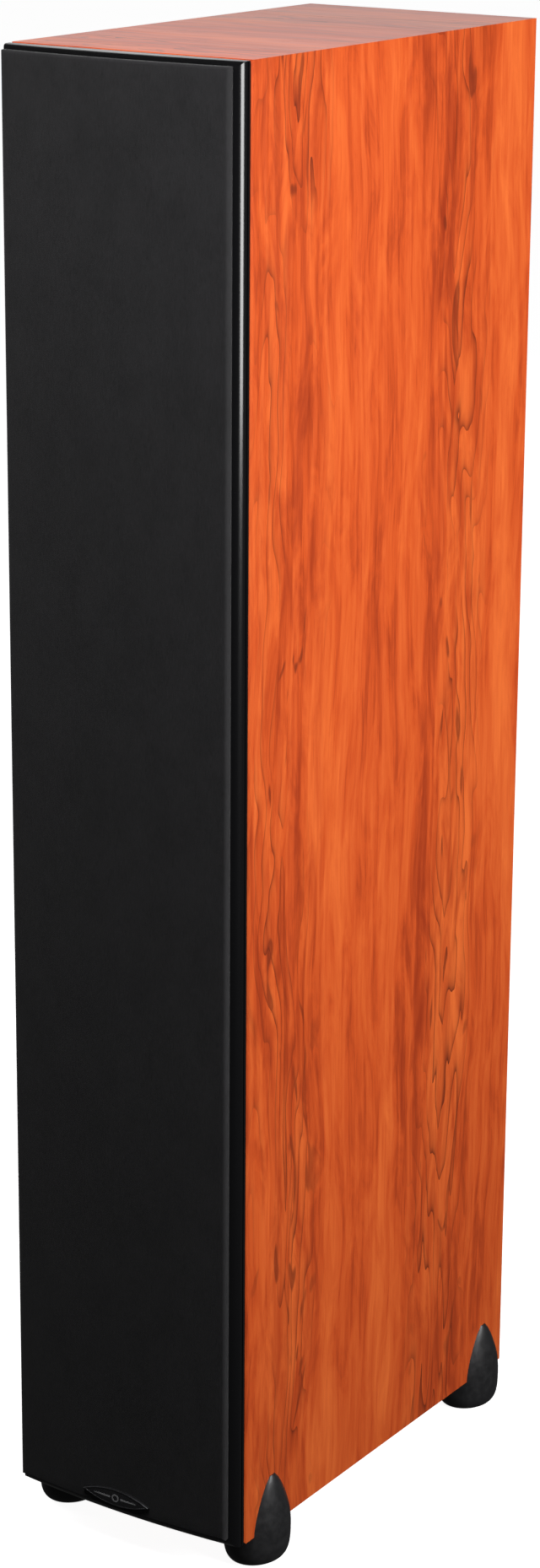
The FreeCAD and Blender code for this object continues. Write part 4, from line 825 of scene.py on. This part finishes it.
@dataclass
class Grille:
    """The pull-off grille: frame, stretched cloth and badge."""

    bow_radius: float = 0.7421
    corner_roll: float = 0.0018
    cloth_thick: float = 0.0005
    columns: int = 60
    rows: int = 150
    roll_steps: int = 4
    wall_steps: int = 2
    badge_points: int = 72
    badge_rim: float = 0.0007
    badge_edge: float = 0.0004
    badge_step: float = 0.00028
    badge_crown: float = 0.00022
    badge_sink: float = 0.0003
    rim_slope: float = 0.0002
    face_gap: float = 0.0001
    face_shares: tuple[float, ...] = (1.0, 0.8, 0.55, 0.3, 0.12)
    ring_outer: float = 0.0027
    ring_inner: float = 0.0018
    ring_steps: int = 32
    inlay_lift: float = 0.00012
    bar_start: float = 0.0042
    bar_end: float = 0.0165
    bar_root: float = 0.00065
    bar_tip: float = 0.00025

    def build(self) -> None:
        """Dresses the frame and makes the cloth and badge."""
        dress("grille_frame", GRILLE_PLASTIC)
        self.make_cloth()
        self.make_badge()

    def face(self, x: float) -> float:
        """Where the cloth's face is at a distance from the middle."""
        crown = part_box("grille_cloth")[0].y
        return crown + self.bow_radius - math.sqrt(self.bow_radius ** 2 - x * x)

    def profile(self, half: float, depth: float, steps: int) -> list[tuple[float, float]]:
        """Distances from the middle and setbacks, over the cloth from one rim to the other.

        Args:
            half: half the cloth's size that way.
            depth: how far the rim is behind the face.
            steps: how many strips the flat part has.

        Returns:
            Pairs of distance and setback.
        """
        roll = self.corner_roll
        flat = half - roll
        rim = [(half, roll + (depth - roll) * step / self.wall_steps)
               for step in range(self.wall_steps, 0, -1)]
        turns = [math.pi / 2 * step / self.roll_steps for step in range(self.roll_steps + 1)]
        rim += [(flat + roll * math.cos(turn), roll * (1 - math.sin(turn))) for turn in turns]
        middle = [(flat * (1 - 2 * step / steps), 0.0) for step in range(1, steps)]
        return rim + middle + [(-far, setback) for far, setback in reversed(rim)]

    def make_cloth(self) -> None:
        """The cloth, one sheet rolled over the frame's four edges."""
        low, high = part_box("grille_cloth")
        half_wide, half_high = (high.x - low.x) / 2, (high.z - low.z) / 2
        middle = (high.z + low.z) / 2
        depth = high.y - self.face(half_wide)
        across = self.profile(half_wide, depth, self.columns)
        up = self.profile(half_high, depth, self.rows)
        mesh = bmesh.new()
        grid = [[mesh.verts.new((x, self.face(x) + max(back, behind), middle + z)) for x, back in across]
                for z, behind in up]
        for row in range(len(up) - 1):
            for column in range(len(across) - 1):
                if self.in_wall(row, len(up)) and self.in_wall(column, len(across)):
                    continue
                corners = (grid[row][column], grid[row][column + 1],
                           grid[row + 1][column + 1], grid[row + 1][column])
                mesh.faces.new(corners)
        bmesh.ops.remove_doubles(mesh, verts=mesh.verts, dist=1e-6)
        loose = [vert for vert in mesh.verts if not vert.link_faces]
        bmesh.ops.delete(mesh, geom=loose, context="VERTS")
        bmesh.ops.recalc_face_normals(mesh, faces=mesh.faces)
        if sum(face.normal.y * face.calc_area() for face in mesh.faces) > 0:
            bmesh.ops.reverse_faces(mesh, faces=mesh.faces)
        bmesh.ops.solidify(mesh, geom=mesh.faces[:], thickness=self.cloth_thick)
        piece = make_object("grille_cloth_sheet", mesh, CLOTH)
        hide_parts("grille_cloth")
        seat(piece, GRILLE)

    def in_wall(self, step: int, count: int) -> bool:
        """Whether a strip of the cloth lies on the frame's edge, not on its face or roll."""
        return step < self.wall_steps or step >= count - 1 - self.wall_steps

    def lens(self, half: float, rise: float, y: float, middle: float) -> list[Point]:
        """Points round a lens outline.

        Args:
            half: half its width.
            rise: half its height.
            y: its depth.
            middle: the height of its middle.

        Returns:
            The points, from the right tip over the top.
        """
        radius = (half * half + rise * rise) / (2 * rise)
        points = []
        for step in range(self.badge_points):
            turn = 2 * math.pi * step / self.badge_points
            x = half * math.cos(turn)
            bulge = math.sqrt(max(radius * radius - x * x, 0.0)) - (radius - rise)
            points.append((x, y, middle + math.copysign(bulge, math.sin(turn))))
        return points

    def make_badge(self) -> None:
        """The lens-shaped badge, its raised rim and a plain inlay."""
        low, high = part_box("grille_badge")
        half, rise = (high.x - low.x) / 2, (high.z - low.z) / 2
        middle = (high.z + low.z) / 2
        tip = math.hypot(1.0, half / (2 * rise))
        rings = [(0.0, high.y + self.badge_sink), (0.0, low.y + self.badge_edge),
                 (self.badge_edge * 0.4, low.y), (self.badge_rim, low.y),
                 (self.badge_rim + self.rim_slope, low.y + self.badge_step)]
        rim = bmesh.new()
        loops = [loop_of(rim, self.lens(half - tip * inset, rise - inset, y, middle)) for inset, y in rings]
        for first, second in zip(loops, loops[1:]):
            bridge(rim, first, second)
        rim_piece = make_object("badge_rim", rim, BADGE_RIM)
        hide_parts("grille_badge")
        seat(rim_piece, GRILLE)
        face = bmesh.new()
        inset = self.badge_rim + self.face_gap
        loops = []
        for share in self.face_shares:
            depth = low.y + self.badge_step - self.badge_crown * (1 - share * share)
            loops.append(loop_of(face, self.lens(share * (half - tip * inset), share * (rise - inset),
                                                 depth, middle)))
        for first, second in zip(loops, loops[1:]):
            bridge(face, first, second)
        face.faces.new(loops[-1])
        seat(make_object("badge_face", face, BADGE_FACE), GRILLE)
        self.make_inlay(low.y + self.badge_step - self.badge_crown, middle)

    def make_inlay(self, y: float, middle: float) -> None:
        """A small ring between two tapering bars, set in the badge.

        Args:
            y: the depth of the badge's face at its middle.
            middle: the height of its middle.
        """
        mesh = bmesh.new()
        front, back = y - self.inlay_lift, y + self.inlay_lift
        turns = [2 * math.pi * step / self.ring_steps for step in range(self.ring_steps)]
        sides = ((self.ring_outer, back), (self.ring_outer, front), (self.ring_inner, front),
                 (self.ring_inner, back))
        rings = [loop_of(mesh, [(radius * math.cos(turn), depth, middle + radius * math.sin(turn))
                                for turn in turns]) for radius, depth in sides]
        for first, second in zip(rings, rings[1:]):
            bridge(mesh, first, second)
        plan = ((self.bar_start, -self.bar_root), (self.bar_end, -self.bar_tip),
                (self.bar_end, self.bar_tip), (self.bar_start, self.bar_root))
        for side in (-1, 1):
            lower = loop_of(mesh, [(side * x, back, middle + z) for x, z in plan])
            upper = loop_of(mesh, [(side * x, front, middle + z) for x, z in plan])
            bridge(mesh, lower, upper)
            mesh.faces.new(upper)
        seat(make_object("badge_inlay", mesh, BADGE_INLAY, smooth=False), GRILLE)


@dataclass
class Drivers:
    """The three woofers and the tweeter, with their screws."""

    woofer_finishes: dict[str, object] = field(default_factory=lambda: {
        "basket": BASKET_PAINT, "surround": SURROUND_RUBBER, "cone": CONE_POLYMER,
        "spider": SPIDER_CLOTH, "motor": MOTOR_IRON})
    tweeter_finishes: dict[str, object] = field(default_factory=lambda: {
        "faceplate": TWEETER_PLATE, "dome": DOME_SILK, "motor": MOTOR_IRON})

    def build(self) -> None:
        """Dresses every driver's parts."""
        for place in WOOFERS:
            for part, finish in self.woofer_finishes.items():
                dress(f"woofer_{place}_{part}", finish)
        for part, finish in self.tweeter_finishes.items():
            dress(f"tweeter_{part}", finish)
        dress("woofer_screws", SCREW_BLACK)
        dress("tweeter_screws", SCREW_BLACK)


@dataclass
class Rear:
    """The reflex port and the terminal cup with its posts, straps and nuts."""

    mark_reach: float = 0.0024
    mark_line: float = 0.0007
    mark_lift: float = 0.00025
    mark_gap: float = 0.0145
    mark_slope: float = 0.0001
    collar_above_floor: float = 0.003

    def build(self) -> None:
        """Dresses the rear's parts and adds the polarity marks."""
        dress("port_tube", PORT_PLASTIC)
        dress("terminal_cup", CUP_PLASTIC)
        dress("cup_screws", SCREW_BLACK)
        for node in ("binding_posts", "jumper_straps"):
            dress(node, GOLD)
        for post in POSTS:
            dress(f"clamp_collar_{post}", GOLD)
            dress(f"thumb_nut_{post}", NUT_RED if post % 2 else NUT_BLACK)
        self.make_marks()

    def make_marks(self) -> None:
        """A plus by each red post and a minus by each black one, moulded on the cup's floor."""
        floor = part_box("clamp_collar_1")[0].y - self.collar_above_floor
        mesh = bmesh.new()
        for post in POSTS:
            low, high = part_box(f"thumb_nut_{post}")
            x, z = (low.x + high.x) / 2, (low.z + high.z) / 2
            outward = math.copysign(self.mark_gap, x)
            self.bar(mesh, x + outward, z, floor, upright=False)
            if post % 2:
                self.bar(mesh, x + outward, z, floor, upright=True)
        seat(make_object("polarity_marks", mesh, MARK_PAINT, smooth=False), CABINET)

    def bar(self, mesh: bmesh.types.BMesh, x: float, z: float, floor: float, upright: bool) -> None:
        """One raised bar with sloped ends.

        Args:
            mesh: the mesh it goes in.
            x: its middle across.
            z: its middle up.
            floor: the depth of the surface that it stands on.
            upright: whether it runs up, not across.
        """
        loops = []
        for inset, lift in ((0.0, 0.0), (self.mark_slope, self.mark_lift)):
            long, wide = self.mark_reach - inset, self.mark_line / 2 - inset
            if upright:
                long, wide = wide, long
            corners = ((long, wide), (-long, wide), (-long, -wide), (long, -wide))
            loops.append(loop_of(mesh, [(x + dx, floor + lift, z + dz) for dx, dz in corners]))
        bridge(mesh, *loops)
        mesh.faces.new(loops[-1])


@dataclass
class Crossover:
    """The crossover board, its parts and the leads."""

    finishes: dict[str, object] = field(default_factory=lambda: {
        "crossover_board": CIRCUIT_BOARD, "board_spacers": CUP_PLASTIC, "inductors": COPPER_WIRE,
        "capacitors": FILM_WRAP, "resistors": CEMENT, "driver_leads": LEAD_JACKET,
        "input_leads": LEAD_JACKET})

    def build(self) -> None:
        """Dresses the crossover's parts."""
        for node, finish in self.finishes.items():
            dress(node, finish)


@dataclass
class Feet:
    """The four moulded feet with their pads and screws."""

    def build(self) -> None:
        """Dresses the feet, pads and screws."""
        for end in ("front", "rear"):
            for side in ("left", "right"):
                dress(f"foot_{end}_{side}", FOOT_PLASTIC)
        dress("foot_pads", PAD_RUBBER)
        dress("foot_screws", SCREW_BLACK)


# ---------------------------------------------------------------- studio


@dataclass(frozen=True)
class Softbox:
    """A rectangular soft light that faces a point."""

    name: str
    at: Point
    aim: Point
    size: tuple[float, float]
    power: float
    tint: Colour = (1.0, 1.0, 1.0)

    def make(self) -> bpy.types.Object:
        """Adds the light to the scene."""
        data = bpy.data.lights.new(self.name, "AREA")
        data.shape = "RECTANGLE"
        data.size, data.size_y = self.size
        data.energy = self.power
        data.color = self.tint
        lamp = bpy.data.objects.new(self.name, data)
        bpy.context.scene.collection.objects.link(lamp)
        lamp.location = self.at
        lamp.rotation_euler = (Vector(self.aim) - Vector(self.at)).to_track_quat("-Z", "Y").to_euler()
        lamp.visible_camera = False
        return lamp


@dataclass
class Studio:
    """A pale floor, soft lights and the camera."""

    eye: Point = (1.2417, -1.8745, 1.1746)
    yaw: float = 33.56
    pitch: float = 17.15
    roll: float = 0.39
    lens: float = 82.85
    floor_half: float = 30.0
    floor_colour: Colour = (0.86, 0.86, 0.86)
    floor_glow: float = 0.95
    fill: float = 0.036
    dust: Pattern = Pattern((3.0, 3.0, 3.0), 2.0)
    softboxes: tuple[Softbox, ...] = (
        Softbox("front_top", (0.30, -0.72, 1.55), (0.0, -0.16, 0.85), (0.5, 0.35), 11.5),
        Softbox("right_side", (1.30, -0.04, 0.88), (0.08, -0.05, 0.60), (0.7, 0.8), 19.5),
        Softbox("back_wall", (-1.5, 3.2, 2.1), (0.0, 0.0, 0.95), (3.2, 2.2), 17.5),
        Softbox("left_side", (-1.6, -0.1, 1.1), (0.0, 0.0, 0.55), (0.8, 1.2), 6.0),
    )

    def build(self) -> None:
        """Sets the stage, the lights and the camera."""
        self.make_floor()
        self.make_world()
        for softbox in self.softboxes:
            softbox.make()
        self.make_camera()
        bpy.context.scene.view_settings.view_transform = "Standard"

    def make_floor(self) -> None:
        """A wide pale floor with a faint glow, so that it stays pale far away."""
        mesh = bmesh.new()
        half = self.floor_half
        corners = ((-half, -half, 0.0), (half, -half, 0.0), (half, half, 0.0), (-half, half, 0.0))
        mesh.faces.new(loop_of(mesh, corners))
        surface = Surface("studio_floor")
        dusty = surface.clouds(self.dust)
        pale = tuple(0.97 * c for c in self.floor_colour)
        colour = surface.blend(dusty, pale, self.floor_colour)
        surface.fix(Emission_Strength=self.floor_glow, Specular_IOR_Level=0.2)
        surface.shader.inputs["Emission Color"].default_value = (1.0, 1.0, 1.0, 1.0)
        material = surface.finish(colour, 0.8)
        data = bpy.data.meshes.new("studio_floor")
        mesh.to_mesh(data)
        mesh.free()
        floor = bpy.data.objects.new("studio_floor", data)
        bpy.context.scene.collection.objects.link(floor)
        data.materials.append(material)
        floor.visible_diffuse = False
        floor.visible_glossy = False
        floor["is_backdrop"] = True

    def make_world(self) -> None:
        """An even, dim surround."""
        world = bpy.data.worlds.new("studio_surround")
        world.use_nodes = True
        shade = world.node_tree.nodes["Background"]
        shade.inputs["Color"].default_value = (1.0, 1.0, 1.0, 1.0)
        shade.inputs["Strength"].default_value = self.fill
        bpy.context.scene.world = world

    def make_camera(self) -> None:
        """The camera, to the right of the front and a little above the speaker's top."""
        yaw, pitch, roll = (math.radians(angle) for angle in (self.yaw, self.pitch, self.roll))
        ahead = Vector((-math.sin(yaw) * math.cos(pitch), math.cos(yaw) * math.cos(pitch), -math.sin(pitch)))
        level = ahead.cross(Vector((0.0, 0.0, 1.0))).normalized()
        rise = level.cross(ahead)
        right = math.cos(roll) * level + math.sin(roll) * rise
        up = -math.sin(roll) * level + math.cos(roll) * rise
        data = bpy.data.cameras.new("studio_camera")
        data.lens = self.lens
        data.sensor_width = 36.0
        camera = bpy.data.objects.new("studio_camera", data)
        bpy.context.scene.collection.objects.link(camera)
        turn = Matrix((right, up, -ahead)).transposed().to_4x4()
        camera.matrix_world = Matrix.Translation(self.eye) @ turn
        bpy.context.scene.camera = camera


def main(cad_box: tuple[Vector, Vector]) -> None:
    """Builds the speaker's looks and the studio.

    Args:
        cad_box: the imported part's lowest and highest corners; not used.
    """
    for assembly in (CabinetShell(), Fascia(), Grille(), Drivers(), Rear(), Crossover(), Feet(), Studio()):
        LOG.info("building %s", type(assembly).__name__)
        assembly.build()


if __name__ == "__main__":
    logging.basicConfig(level=logging.INFO, format="%(message)s")
    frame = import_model()
    main(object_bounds())
